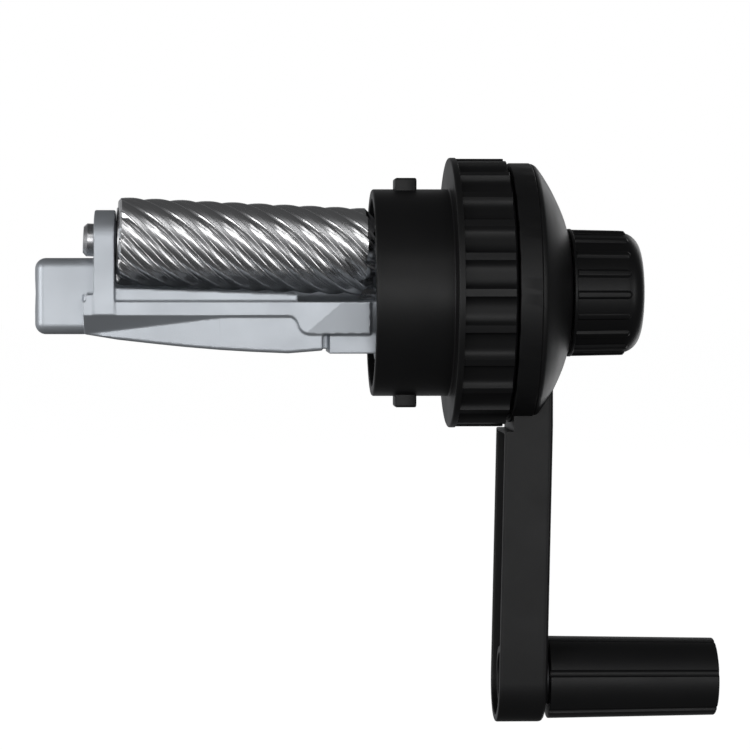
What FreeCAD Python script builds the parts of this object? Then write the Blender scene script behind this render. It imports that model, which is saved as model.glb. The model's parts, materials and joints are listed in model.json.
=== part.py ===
import FreeCAD, Part
import math
import os

# Crank and cutter unit of a desk pencil sharpener: the part that twists out of the case.
# A fixed barrel carries an internal gear. Turning the crank carries a helical cutter round
# the pencil, and the cutter's pinion rolls inside the gear, so the cutter also spins.
#
# Frame, in millimetres: the origin is the centre of the seating face of the grip ring, +X
# runs along the main axis from the pencil's side to the crank's side, +Z is up, and the
# crank hangs straight down.
#
# The sizes below are set by hand. Places along X follow from them further down, counted
# left from the plane of the gears and right from the seating face.

V = FreeCAD.Vector
X_AXIS = V(1, 0, 0)

# --- Clearances -----------------------------------------------------------------------
RUN_FIT = 0.05            # radial gap of a running fit
MOVE_GAP = 0.3            # gap between pieces that pass each other
PRESS_GAP = 0.02          # radial gap drawn at a press fit or a glued seat

# --- Pencil path ----------------------------------------------------------------------
PENCIL_BORE_R = 4.05      # nose bore for pencils of 7 to 8 mm
PENCIL_START_R = 3.54     # pencil radius left at the cutter's front end
PENCIL_POINT_R = 0.45     # pencil radius left where the cone ends
CONE_LENGTH = 36.4        # from the cutter's front end to the end of the cone
CONE_TO_GEARS = 4.3       # from the end of the cone to the middle of the gears
GEARS_X = -8.4            # middle plane of the gears

# --- Cutter and its skewed axis -------------------------------------------------------
CUTTER_R = 6.45
CUTTER_FRONT_ANGLE = 131.0   # direction of the axis from the pencil, from +Y towards +Z
CUTTER_REAR_ANGLE = 118.9
CUTTER_CHAMFER = 1.5
CUTTER_FRONT_CHAMFER = 0.5
CUTTER_FLUTES = 10
CUTTER_FLUTE_DEPTH = 0.55
CUTTER_LEAD = 38.0        # one turn of the right-hand flutes
CUTTER_CLEARANCE = 0.5    # gap between the cutter and the casting
AXLE_R = 1.5
AXLE_HEAD_R = 2.4
AXLE_HEAD_H = 1.7
SLEEVE_WALL = 0.6
WASHER_R = 4.9
WASHER_T = 0.55
SPIGOT_WALL = 0.5         # cutter metal between the sleeve and the pinion

# --- Gear drive -----------------------------------------------------------------------
PINION_TEETH = 10
RING_TEETH = 24
PRESSURE_ANGLE = 20.0
ADDENDUM = 0.62
DEDENDUM = 0.85
BACKLASH = 0.6            # wide, because the pinion leans by about five degrees
PINION_FACE = 2.6
PINION_GAP = 1.7          # from the cutter's rear face to the pinion
RING_GEAR_FACE = 3.6
RING_GEAR_WALL = 1.85

# --- Barrel with grip ring ------------------------------------------------------------
BARREL_RIM = 1.2          # how far the barrel's rim stands in front of the ring gear
BARREL_WALL = 1.42
BARREL_REAR_WALL = 2.8
LUG_SETBACK = 4.8         # from the seating face to the lugs
LUG_LENGTH = 3.2
LUG_HEIGHT = 1.6
LUG_HALF_WIDTH = 2.8
GRIP_RING_STEP = 4.7      # how far the ring stands out from the barrel
GRIP_RING_LENGTH = 8.6
GRIP_RING_WALL = 2.5
SEAT_WALL = 2.4           # wall behind the seating face
PLAIN_BAND = 0.94
RING_CHAMFER = 0.6
RIB_DROP = 0.15           # ribs are a little lower than the plain band
RING_RIBS = 24
RING_RIB_TOP = 1.1
RING_SCALLOP = 0.7

# --- Bearing plate, bush and drive shaft ----------------------------------------------
PLATE_T = 3.0
PLATE_SCREWS = 3
PLATE_SCREW_ANGLE = 60.0  # of the first screw, from straight up
SCREW_R = 0.8
SCREW_HEAD_R = 1.5
SCREW_HEAD_H = 1.0
SCREW_LENGTH = 6.0
BUSH_WALL = 1.2
BUSH_FLANGE_R = 6.6
BUSH_FLANGE_T = 0.8
BUSH_OUT = 1.1            # how far the bush stands out behind its plate
BUSH_FRONT = 2.4          # from the plate forward to the shaft's shoulder
SHAFT_R = 4.0
SHAFT_BORE_R = 2.9
SHAFT_SOCKET = 2.5        # depth of the shaft's socket in the carrier
SHAFT_SHOULDER_R = 6.0
SHAFT_STUD_R = 3.5
SHAFT_FLAT = 2.9          # distance of the flat from the axis
SHAFT_END_WALL = 6.3      # length of the shaft's end that holds the adjusting screw
STUD_OUT = 0.5            # how far the shaft stands out of its nut
NUT_FLATS = 9.0
NUT_T = 2.4

# --- Carrier casting ------------------------------------------------------------------
NOSE_LENGTH = 7.4
NOSE_TOP = 5.1
NOSE_BOTTOM = -6.1
NOSE_HALF_WIDTH = 6.2
NOSE_ROUND = 1.6
NOSE_TO_POST = 1.5
SLIT_WIDTH = 0.35         # slit between the nose block and the near rail
RAIL_TOP = -1.3
RAIL_THICKNESS = 2.0
RAIL_DEEP_Z = -6.0        # bottom of the rail where it thickens towards the barrel
RAIL_DEEP_LENGTH = 9.4    # thick length of the rail in front of the barrel
RAIL_STEP_LENGTH = 3.4
RAIL_OUT = 0.9            # how far the rail stands out past the neck
TROUGH_FRONT_R = 5.8
TROUGH_REAR_R = 8.5
TROUGH_STRAIGHT = 4.0     # straight length of the trough behind its cone
GROOVE_TO_BARREL = 6.6
GROOVE_WIDTH = 1.0
GROOVE_DEPTH = 0.7
BLOCK_FLAT_Z = -8.9
BLOCK_HALF_WIDTH = 8.4    # flat-sided block between the groove and the barrel
APRON_BACK = 2.7          # how far the apron's wall lies behind the rail at the nose
APRON_END_BACK = 0.4
APRON_WALL_TOP = -6.0     # top of the apron's wall at the nose
APRON_END_TOP = -3.5
APRON_RISE_LENGTH = 20.0  # from the nose to where the wall's top meets the rail
APRON_DEPTHS = (-6.05, -6.85, -7.4, -7.9, -8.3, -8.6, -8.8, -8.4)   # lower edge, nose to groove
APRON_ROUND = 0.3
APRON_FAR_Y = 4.0         # where its underside runs into the round far side
APRON_FAR_RISE = 1.95
FACET_TOP = 4.7           # where the leaning face of the deep rail starts, before the barrel
FACET_LOW = 10.2
FACET_LEAN = 7.8
FAR_WALL_TOP = 4.5
CONE_BORE_CLEAR = 0.65    # room round the sharpened cone
POST_T = 3.0
POST_R = 4.4
FLANGE_T = 4.0
GEAR_PASS_GAP = 0.45      # the neck passes inside the ring gear's teeth
PINION_POCKET_GAP = 0.35
FLANGE_BOSS_R = 2.8
FLANGE_BOSS_H = 0.3
SET_SCREW_R = 1.0

# --- Point stop and its screw ---------------------------------------------------------
STOP_ROD_R = 0.9
STOP_TIP_FLAT = 0.2       # the tip is flattened on the cutter's side, this far from the axis
STOP_TRAVEL = 3.0
STOP_NUT_LENGTH = 6.5
STOP_SPRING_LENGTH = 4.7
STOP_SPRING_WIRE = 0.4
ADJUST_SCREW_R = 1.5
ADJUST_COLLAR_R = 2.6
ADJUST_COLLAR_T = 1.5
STOP_SPRING_TURNS = 3.5
KEY_R = 0.5

# --- Crank ----------------------------------------------------------------------------
DISC_GAP = 0.25           # between the grip ring and the crank's disc
DISC_STEP = 0.8           # the disc is a little smaller than the grip ring
DISC_EDGE = 3.42          # straight edge of the disc
DOME_HEIGHT = 8.7         # from the disc's face to the top of the dome
DOME_CROWN = 0.56         # share of the dome's rise that is reached half-way in
DISC_DRAFT = 0.12
RIM_ROUND = 1.64
DOME_SHELL = 1.8
DISH_LIP = 0.25
DISH_DEPTH = 0.6
NUT_RECESS = 1.3          # from the dish's floor down to the top of the nut
HUB_R = 6.0
ARM_THICKNESS = 7.1
ARM_HALF_WIDTH = 6.6
ARM_OVERHANG = 0.85       # how far the arm stands out past the disc's face at the ring
ARM_LEAN = 1.22           # degrees towards the cutter
ARM_TOP_Z = -6.0
ARM_ROUND = 1.2
ARM_RIM = 1.3
ARM_WEB = 2.0
ARM_RIBS = 3
ARM_RIB_T = 1.0
CRANK_RADIUS = 57.5

# --- Adjusting knob -------------------------------------------------------------------
KNOB_GAP = 0.3
KNOB_LENGTH = 10.85
KNOB_COLLAR_R = 9.54
KNOB_COLLAR_T = 0.5
KNOB_R = 9.18
KNOB_END_R = 9.0
KNOB_ROUND = 3.0
KNOB_CROWN = 0.15
KNOB_RIBS = 18
KNOB_RIB_R = 0.6
KNOB_RIB_OUT = 0.19       # how far the ribs stand out of the knob
KNOB_RIB_LENGTH = 7.1
KNOB_RIB_ANGLE = 2.0      # of the first rib, from +Y
KNOB_CORE_R = 2.3         # knurled end of the adjusting screw inside the knob
KNOB_CORE_LENGTH = 5.0
KNOB_CORE_DEPTH = 1.15
BALL_R = 1.1
BALL_WALL = 0.8           # between the nut's recess and the ball's hole
BALL_SPRING_WIRE = 0.4
BALL_SPRING_LENGTH = 2.35
BALL_SPRING_TURNS = 2.5

# --- Handle grip ----------------------------------------------------------------------
GRIP_LENGTH = 25.05
GRIP_R0 = 6.13
GRIP_R1 = 5.55
GRIP_ROUND = 0.5
GRIP_GROOVES = 6
GRIP_GROOVE_DEPTH = 0.35
GRIP_GROOVE_ANGLE = 13.0
BOLT_R = 2.0
BOLT_HEAD_R = 3.6
BOLT_HEAD_H = 2.2
BOLT_HEAD_SINK = 1.1      # how far the bolt's head lies inside the grip's end
BOSS_R = 4.7
BOSS_OUT = 0.15
GRIP_WASHER_R = 4.0
GRIP_WASHER_T = 0.35
GRIP_NUT_FLATS = 6.0
GRIP_NUT_T = 1.6
GRIP_NUT_SINK = 1.4       # from the arm's open side to the nut
BOLT_SLOT = 0.8           # screwdriver slot, as wide as it is deep


# --- Small helpers --------------------------------------------------------------------
def cylinder(x0, x1, radius, y=0.0, z=0.0):
    """A cylinder along X."""
    return Part.makeCylinder(radius, x1 - x0, V(x0, y, z), X_AXIS)


def tube(x0, x1, outer, inner):
    return cylinder(x0, x1, outer).cut(cylinder(x0 - 1, x1 + 1, inner))


def block(x0, x1, y0, y1, z0, z1):
    return Part.makeBox(x1 - x0, y1 - y0, z1 - z0, V(x0, y0, z0))


def turned(*pieces):
    """Revolve an outline about the main axis.

    Each piece is a point (x, r), or a pair of points for an arc: one that the arc passes
    through and the one where it ends.
    """
    points = [V(pieces[0][0], 0, pieces[0][1])]
    edges = []
    for piece in list(pieces[1:]) + [pieces[0]]:
        if isinstance(piece[0], tuple):
            via, end = (V(x, 0, r) for x, r in piece)
            edges.append(Part.Arc(points[-1], via, end).toShape())
        else:
            end = V(piece[0], 0, piece[1])
            edges.append(Part.makeLine(points[-1], end))
        points.append(end)
    return Part.Face(Part.Wire(edges)).revolve(V(0, 0, 0), X_AXIS, 360)


def about_axis(shape, degrees):
    turned_shape = shape.copy()
    turned_shape.rotate(V(0, 0, 0), X_AXIS, degrees)
    return turned_shape


def pattern(shape, count, start=0.0):
    """Copies of a shape, evenly spaced round the main axis."""
    return [about_axis(shape, start + 360.0 * k / count) for k in range(count)]


def hexagon(x0, x1, flats):
    """A hexagonal prism along X, across its flats."""
    corner = flats / math.sqrt(3)
    angles = [math.radians(60 * k) for k in range(7)]
    wire = Part.makePolygon([V(x0, corner * math.cos(a), corner * math.sin(a)) for a in angles])
    return Part.Face(wire).extrude(V(x1 - x0, 0, 0))


def coil(x0, x1, radius, wire_r, turns):
    """A compression spring along X between two planes."""
    length = x1 - x0 - 2 * wire_r
    helix = Part.makeHelix(length / turns, length, radius)
    profile = Part.Wire(Part.makeCircle(wire_r, V(radius, 0, 0), V(0, 1, 0)))
    spring = Part.Wire(helix).makePipeShell([profile], True, True)
    spring.rotate(V(0, 0, 0), V(0, 1, 0), 90)
    spring.translate(V(x0 + wire_r, 0, 0))
    return spring


def save(name, *solids):
    shape = solids[0] if len(solids) == 1 else Part.makeCompound(list(solids))
    shape.exportStep(os.path.join("parts", name + ".step"))
    volumes = [round(solid.Volume, 2) for solid in shape.Solids]
    print(name, "valid" if shape.isValid() else "NOT VALID", volumes)


# --- Places along X, worked out -------------------------------------------------------
ring_gear_x0 = GEARS_X - RING_GEAR_FACE / 2
ring_gear_x1 = GEARS_X + RING_GEAR_FACE / 2
barrel_front_x = ring_gear_x0 - BARREL_RIM
point_x = GEARS_X - CONE_TO_GEARS
cutter_front_x = point_x - CONE_LENGTH
post_x0 = cutter_front_x - POST_T
nose_x1 = post_x0 - NOSE_TO_POST
nose_x0 = nose_x1 - NOSE_LENGTH


# --- Cutter axis, worked out ----------------------------------------------------------
def from_pencil(distance, degrees, x):
    angle = math.radians(degrees)
    return V(x, distance * math.cos(angle), distance * math.sin(angle))


axis_front = from_pencil(CUTTER_R + PENCIL_START_R, CUTTER_FRONT_ANGLE, cutter_front_x)
axis_point = from_pencil(CUTTER_R + PENCIL_POINT_R, CUTTER_REAR_ANGLE, point_x)
axis_dir = axis_point.sub(axis_front).normalize()
CUTTER_TURN = FreeCAD.Rotation(X_AXIS, axis_dir)


def on_cutter_axis(shape):
    """Move a shape that was built from the origin along +X onto the cutter's axis."""
    moved = shape.copy()
    moved.Placement = FreeCAD.Placement(axis_front, CUTTER_TURN).multiply(shape.Placement)
    return moved


def axis_at(x):
    """The point of the cutter's axis at a given X."""
    return axis_front.add(V(axis_dir).multiply((x - axis_front.x) / axis_dir.x))


def along_axis(x):
    """Distance along the cutter's axis, from its front point, of the point at a given X."""
    return (x - axis_front.x) / axis_dir.x


washer_s0 = RUN_FIT
cutter_s0 = washer_s0 + WASHER_T + RUN_FIT
pinion_s0 = along_axis(GEARS_X) - PINION_FACE / 2
pinion_s1 = pinion_s0 + PINION_FACE
cutter_s1 = pinion_s0 - PINION_GAP
cutter_length = cutter_s1 - cutter_s0
rear_washer_s0 = pinion_s1 + RUN_FIT
boss_s0 = rear_washer_s0 + WASHER_T + RUN_FIT
sleeve_r = AXLE_R + RUN_FIT + SLEEVE_WALL
spigot_r = sleeve_r + SPIGOT_WALL

# --- Gear sizes and the round sizes that follow from them -----------------------------
pinion_centre = axis_at(GEARS_X)
centre_distance = math.hypot(pinion_centre.y, pinion_centre.z)
mesh_angle = math.degrees(math.atan2(pinion_centre.z, pinion_centre.y))
pinion_pitch_r = centre_distance * PINION_TEETH / (RING_TEETH - PINION_TEETH)
ring_pitch_r = centre_distance * RING_TEETH / (RING_TEETH - PINION_TEETH)
circular_pitch = 2 * math.pi * pinion_pitch_r / PINION_TEETH
ring_tip_r = ring_pitch_r - ADDENDUM
ring_root_r = ring_pitch_r + DEDENDUM
ring_gear_r = ring_root_r + RING_GEAR_WALL
gear_seat_r = ring_gear_r + PRESS_GAP
barrel_r = gear_seat_r + BARREL_WALL
rear_bore_r = barrel_r - BARREL_REAR_WALL
neck_r = ring_tip_r - GEAR_PASS_GAP
band_r = barrel_r + GRIP_RING_STEP
disc_r = band_r - DISC_STEP
plate_seat_r = band_r - GRIP_RING_WALL
screw_circle_r = (rear_bore_r + barrel_r) / 2
nut_corner_r = NUT_FLATS / math.sqrt(3)
ball_track_r = nut_corner_r + MOVE_GAP + BALL_WALL + BALL_R

# --- Places along X to the right of the gears -----------------------------------------
plate_x1 = SEAT_WALL + PLATE_T
bush_x1 = plate_x1 + BUSH_OUT
flange_x0 = axis_front.x + boss_s0 * axis_dir.x + FLANGE_BOSS_H
flange_x1 = flange_x0 + FLANGE_T
shaft_x0 = flange_x1 - SHAFT_SOCKET
axle_rear_x = flange_x1 - MOVE_GAP
axle_rear = axis_at(axle_rear_x)
socket_r = min(SHAFT_R, math.hypot(axle_rear.y, axle_rear.z) - AXLE_R - MOVE_GAP)
shoulder_x1 = SEAT_WALL - BUSH_FRONT
bush_x0 = shoulder_x1 + 2 * RUN_FIT
shaft_step_x = bush_x1 + 2 * MOVE_GAP     # the crank's hub seats here
disc_x0 = GRIP_RING_LENGTH + DISC_GAP
disc_edge_x = disc_x0 + DISC_EDGE
dome_x1 = disc_x0 + DOME_HEIGHT
dish_floor_x = dome_x1 - DISH_DEPTH
hub_x1 = dish_floor_x - NUT_RECESS - NUT_T
shaft_x1 = hub_x1 + NUT_T + STUD_OUT
end_wall_x = shaft_x1 - SHAFT_END_WALL
knob_x0 = dome_x1 + KNOB_GAP
knob_x1 = knob_x0 + KNOB_LENGTH
core_x0 = knob_x0 + KNOB_CORE_DEPTH
ball_x = (dish_floor_x + knob_x0) / 2
arm_x0 = disc_x0 - ARM_OVERHANG           # left face of the arm at the ring's edge
arm_pin_x0 = arm_x0 - math.tan(math.radians(ARM_LEAN)) * (CRANK_RADIUS - band_r)
boss_face_x = arm_pin_x0 + ARM_THICKNESS + BOSS_OUT
grip_x0 = boss_face_x + GRIP_WASHER_T + RUN_FIT
grip_x1 = grip_x0 + GRIP_LENGTH
bolt_x0 = arm_pin_x0 + GRIP_NUT_SINK
bolt_head_x0 = grip_x1 - BOLT_HEAD_SINK - BOLT_HEAD_H
stop_nut_x0 = shaft_x0 + STOP_SPRING_LENGTH
stop_nut_x1 = stop_nut_x0 + STOP_NUT_LENGTH
stop_nut_r = SHAFT_BORE_R - RUN_FIT
key_x = stop_nut_x0 + (STOP_NUT_LENGTH - STOP_TRAVEL) / 2
adjust_screw_x0 = stop_nut_x0 + 1


def gear_face(teeth, pitch_r, root_r, tip_r, tooth_width, start_degrees):
    """A gear outline in the YZ plane with involute flanks, as a face at X = 0."""
    base_r = pitch_r * math.cos(math.radians(PRESSURE_ANGLE))

    def involute(r):
        pressure = math.acos(min(1.0, base_r / r))
        return math.tan(pressure) - pressure

    def half_angle(r):
        return tooth_width / (2 * pitch_r) + involute(pitch_r) - involute(max(r, base_r))

    def at(r, angle):
        return V(0, r * math.cos(angle), r * math.sin(angle))

    flank_r = max(root_r, base_r + 0.01)
    middle_r = (flank_r + tip_r) / 2
    pitch = 2 * math.pi / teeth
    edges = []
    for k in range(teeth):
        centre = math.radians(start_degrees) + k * pitch
        low, mid, high = (half_angle(r) for r in (flank_r, middle_r, tip_r))
        if flank_r > root_r:
            edges.append(Part.makeLine(at(root_r, centre - low), at(flank_r, centre - low)))
        edges.append(Part.Arc(at(flank_r, centre - low), at(middle_r, centre - mid),
                              at(tip_r, centre - high)).toShape())
        edges.append(Part.Arc(at(tip_r, centre - high), at(tip_r, centre),
                              at(tip_r, centre + high)).toShape())
        edges.append(Part.Arc(at(tip_r, centre + high), at(middle_r, centre + mid),
                              at(flank_r, centre + low)).toShape())
        if flank_r > root_r:
            edges.append(Part.makeLine(at(flank_r, centre + low), at(root_r, centre + low)))
        edges.append(Part.Arc(at(root_r, centre + low), at(root_r, centre + pitch / 2),
                              at(root_r, centre + pitch - low)).toShape())
    return Part.Face(Part.Wire(edges))


# --- Fixed housing --------------------------------------------------------------------
def barrel_housing():
    """Barrel, seating flange and ribbed grip ring, one moulding, with two bayonet lugs."""
    ring_r = band_r - RIB_DROP
    body = turned(
        (barrel_front_x, gear_seat_r),
        (barrel_front_x, barrel_r),
        (0, barrel_r),
        (0, band_r),
        (PLAIN_BAND, band_r),
        (PLAIN_BAND, ring_r),
        (GRIP_RING_LENGTH - RING_CHAMFER, ring_r),
        (GRIP_RING_LENGTH, ring_r - RING_CHAMFER),
        (GRIP_RING_LENGTH, plate_seat_r),
        (SEAT_WALL, plate_seat_r),
        (SEAT_WALL, rear_bore_r),
        (ring_gear_x1, rear_bore_r),
        (ring_gear_x1, gear_seat_r),
    )
    chord = 2 * math.pi * ring_r / RING_RIBS - RING_RIB_TOP
    scallop_r = chord ** 2 / (8 * RING_SCALLOP) + RING_SCALLOP / 2
    scallop = cylinder(PLAIN_BAND, GRIP_RING_LENGTH + 1, scallop_r,
                       y=ring_r - RING_SCALLOP + scallop_r)
    body = body.cut(pattern(scallop, RING_RIBS, start=180.0 / RING_RIBS))
    lug = block(-LUG_SETBACK - LUG_LENGTH, -LUG_SETBACK, -LUG_HALF_WIDTH, LUG_HALF_WIDTH,
                barrel_r - BARREL_WALL / 2, barrel_r + LUG_HEIGHT)
    body = body.fuse(pattern(lug, 2))
    pilot = cylinder(plate_x1 - SCREW_LENGTH, SEAT_WALL + 1, SCREW_R + PRESS_GAP,
                     z=screw_circle_r)
    return body.cut(pattern(pilot, PLATE_SCREWS, start=PLATE_SCREW_ANGLE)).removeSplitter()


def ring_gear():
    """Internal gear pressed into the barrel behind its front rim."""
    hole = gear_face(RING_TEETH, ring_pitch_r, ring_tip_r, ring_root_r,
                     (circular_pitch + BACKLASH) / 2, mesh_angle)
    length = ring_gear_x1 - ring_gear_x0
    cutter = hole.extrude(V(length + 2, 0, 0))
    cutter.translate(V(ring_gear_x0 - 1, 0, 0))
    return cylinder(ring_gear_x0, ring_gear_x1, ring_gear_r).cut(cutter)


def bearing_plate():
    """Plate behind the barrel that holds the shaft's bush."""
    body = tube(SEAT_WALL, plate_x1, plate_seat_r - PRESS_GAP, SHAFT_R + RUN_FIT + BUSH_WALL)
    hole = cylinder(SEAT_WALL - 1, plate_x1 + 1, SCREW_R + PRESS_GAP, z=screw_circle_r)
    return body.cut(pattern(hole, PLATE_SCREWS, start=PLATE_SCREW_ANGLE))


def plate_screws():
    shank = cylinder(plate_x1 - SCREW_LENGTH, plate_x1, SCREW_R, z=screw_circle_r)
    head = cylinder(plate_x1, plate_x1 + SCREW_HEAD_H, SCREW_HEAD_R, z=screw_circle_r)
    slot = block(plate_x1 + SCREW_HEAD_H / 2, plate_x1 + SCREW_HEAD_H + 1,
                 -SCREW_HEAD_R, SCREW_HEAD_R, screw_circle_r - 0.2, screw_circle_r + 0.2)
    return pattern(shank.fuse(head).cut(slot), PLATE_SCREWS, start=PLATE_SCREW_ANGLE)


def shaft_bush():
    """Flanged bush of the drive shaft."""
    inner = SHAFT_R + RUN_FIT
    body = tube(bush_x0, bush_x1, inner + BUSH_WALL, inner)
    return body.fuse(tube(bush_x0, bush_x0 + BUSH_FLANGE_T, BUSH_FLANGE_R, inner))


# --- Carrier casting and what turns with it -------------------------------------------
rail_face_y = -(neck_r + RAIL_OUT)
post_y = axis_at(post_x0).y
post_z = axis_at(post_x0).z


def cone_radius(x):
    """Radius of the sharpened pencil at a given X."""
    share = (x - cutter_front_x) / (point_x - cutter_front_x)
    return PENCIL_START_R + share * (PENCIL_POINT_R - PENCIL_START_R)


def rail():
    """Outer rail along the near side: thin in front, deep where it meets the neck."""
    rail_step_x1 = barrel_front_x - RAIL_DEEP_LENGTH
    rail_step_x0 = rail_step_x1 - RAIL_STEP_LENGTH
    middle_x = (rail_step_x0 + rail_step_x1) / 2
    thin_z = RAIL_TOP - RAIL_THICKNESS
    middle_z = (thin_z + RAIL_DEEP_Z) / 2
    quarter = (rail_step_x1 - rail_step_x0) * 0.3
    drop = (thin_z - RAIL_DEEP_Z) * 0.12

    def at(x, z):
        return V(x, rail_face_y, z)

    outline = Part.Wire([
        Part.makeLine(at(nose_x1, RAIL_TOP), at(nose_x1, thin_z)),
        Part.makeLine(at(nose_x1, thin_z), at(rail_step_x0, thin_z)),
        Part.Arc(at(rail_step_x0, thin_z), at(rail_step_x0 + quarter, thin_z - drop),
                 at(middle_x, middle_z)).toShape(),
        Part.Arc(at(middle_x, middle_z), at(rail_step_x1 - quarter, RAIL_DEEP_Z + drop),
                 at(rail_step_x1, RAIL_DEEP_Z)).toShape(),
        Part.makeLine(at(rail_step_x1, RAIL_DEEP_Z), at(ring_gear_x0, RAIL_DEEP_Z)),
        Part.makeLine(at(ring_gear_x0, RAIL_DEEP_Z), at(ring_gear_x0, RAIL_TOP)),
        Part.makeLine(at(ring_gear_x0, RAIL_TOP), at(nose_x1, RAIL_TOP)),
    ])
    body = Part.Face(outline).extrude(V(0, -rail_face_y, 0))
    inside_x = barrel_front_x - 2 * MOVE_GAP
    square_end = block(inside_x, ring_gear_x0 + 1, 2 * rail_face_y, 0, 3 * RAIL_DEEP_Z, neck_r)
    round_end = cylinder(inside_x, ring_gear_x0 + 1, neck_r)
    return body.cut([square_end.cut(round_end), rail_facet()])


def rail_facet():
    """What the deep rail lacks where its face leans back, below a slanting line."""
    start = V(barrel_front_x - FACET_TOP, 0, RAIL_TOP)
    along = (V(barrel_front_x - FACET_LOW, 0, RAIL_DEEP_Z) - start).normalize()
    across = V(-along.z, 0, along.x)
    reach = 3 * FACET_LOW
    lean = reach * math.tan(math.radians(FACET_LEAN))
    corners = [(0, rail_face_y), (reach, rail_face_y + lean),
               (reach, 2 * rail_face_y), (0, 2 * rail_face_y)]
    points = [start - along * reach + across * v + V(0, y, 0) for v, y in corners]
    return Part.Face(Part.makePolygon(points + points[:1])).extrude(along * 2 * reach)


def apron():
    """Wall under the near rail, set back at the nose and growing deeper towards the groove."""
    end_x = barrel_front_x - GROOVE_TO_BARREL - GROOVE_WIDTH
    thin_z = RAIL_TOP - RAIL_THICKNESS
    rise_x = nose_x1 + APRON_RISE_LENGTH

    def section(x, low):
        share = min(1.0, (x - nose_x1) / (rise_x - nose_x1))
        wall_y = rail_face_y + APRON_BACK + share * (APRON_END_BACK - APRON_BACK)
        wall_z = APRON_WALL_TOP + share * (APRON_END_TOP - APRON_WALL_TOP)
        corners = [(rail_face_y, thin_z + 1), (rail_face_y, thin_z),
                   (wall_y, wall_z), (wall_y, min(wall_z - 0.05, low + APRON_ROUND)),
                   (wall_y + APRON_ROUND, low), (0, low),
                   (APRON_FAR_Y, low + APRON_FAR_RISE), (APRON_FAR_Y, thin_z + 1)]
        return Part.makePolygon([V(x, y, z) for y, z in corners + corners[:1]])

    last = len(APRON_DEPTHS) - 1
    sections = [section(nose_x1 + (end_x - nose_x1) * k / last, low)
                for k, low in enumerate(APRON_DEPTHS)]
    walls = [Part.makeLoft([a, b], True, True) for a, b in zip(sections, sections[1:])]
    return walls[0].fuse(walls[1:])


def nose():
    """Rounded square block round the pencil's way in; its upper part reaches the post."""
    reach_x = post_x0 + MOVE_GAP
    body = block(nose_x0, reach_x, -NOSE_HALF_WIDTH, NOSE_HALF_WIDTH, NOSE_BOTTOM, NOSE_TOP)
    rounded = [edge for edge in body.Edges
               if edge.BoundBox.XMax < reach_x - 0.01 or edge.BoundBox.XLength > 1]
    below_reach = block(nose_x1, reach_x + 1, -2 * NOSE_HALF_WIDTH, 2 * NOSE_HALF_WIDTH,
                        2 * NOSE_BOTTOM, RAIL_TOP)
    return body.makeFillet(NOSE_ROUND, rounded).cut(below_reach)


def trough():
    """Half-open body round the pencil's cone, stepped and grooved in front of the neck."""
    groove_x1 = barrel_front_x - GROOVE_TO_BARREL
    groove_x0 = groove_x1 - GROOVE_WIDTH
    body = turned(
        (nose_x1 - 1, 0),
        (nose_x1 - 1, TROUGH_FRONT_R),
        (groove_x0 - TROUGH_STRAIGHT, TROUGH_REAR_R),
        (groove_x0, TROUGH_REAR_R),
        (groove_x0, TROUGH_REAR_R - GROOVE_DEPTH),
        (groove_x1, TROUGH_REAR_R - GROOVE_DEPTH),
        (groove_x1, neck_r),
        (flange_x1, neck_r),
        (flange_x1, 0),
    )
    front_of_gear = ring_gear_x0 - 2 * MOVE_GAP
    below = block(groove_x1, front_of_gear, -neck_r, neck_r, -2 * neck_r, BLOCK_FLAT_Z)
    above_far = block(nose_x1 - 2, front_of_gear, 0, 2 * neck_r, FAR_WALL_TOP, 2 * neck_r)
    above_near = block(nose_x1 + SLIT_WIDTH, front_of_gear, -2 * neck_r, 0,
                       RAIL_TOP, 2 * neck_r)
    nose_near = block(nose_x1 - 2, nose_x1 + SLIT_WIDTH, -2 * neck_r, 0,
                      NOSE_TOP, 2 * neck_r)
    beside = block(groove_x1, front_of_gear, -BLOCK_HALF_WIDTH, 0, BLOCK_FLAT_Z, RAIL_DEEP_Z)
    groove_floor = block(groove_x0, groove_x1, -BLOCK_HALF_WIDTH + GROOVE_DEPTH, 0,
                         BLOCK_FLAT_Z + GROOVE_DEPTH, RAIL_DEEP_Z)
    return body.cut([below, above_far, above_near, nose_near]).fuse([beside, groove_floor])


def post():
    """Bearing post of the cutter's front end, with pads square to the cutter's axis."""
    body = cylinder(post_x0, cutter_front_x, POST_R, y=post_y, z=post_z)
    body = body.fuse(block(post_x0, cutter_front_x, post_y - POST_R, post_y + POST_R,
                           RAIL_TOP - RAIL_THICKNESS, post_z))
    foot = block(nose_x1 + SLIT_WIDTH, cutter_front_x, rail_face_y, post_y + POST_R,
                 RAIL_TOP - RAIL_THICKNESS, RAIL_TOP + 1)
    pad = on_cutter_axis(cylinder(along_axis(post_x0), 0, AXLE_HEAD_R + 0.6))
    body = body.fuse([foot, pad])
    beyond = on_cutter_axis(cylinder(0, 10, 2 * POST_R))
    before = on_cutter_axis(cylinder(-12, along_axis(post_x0), AXLE_HEAD_R + 0.1))
    return body.cut([beyond, before])


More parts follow.
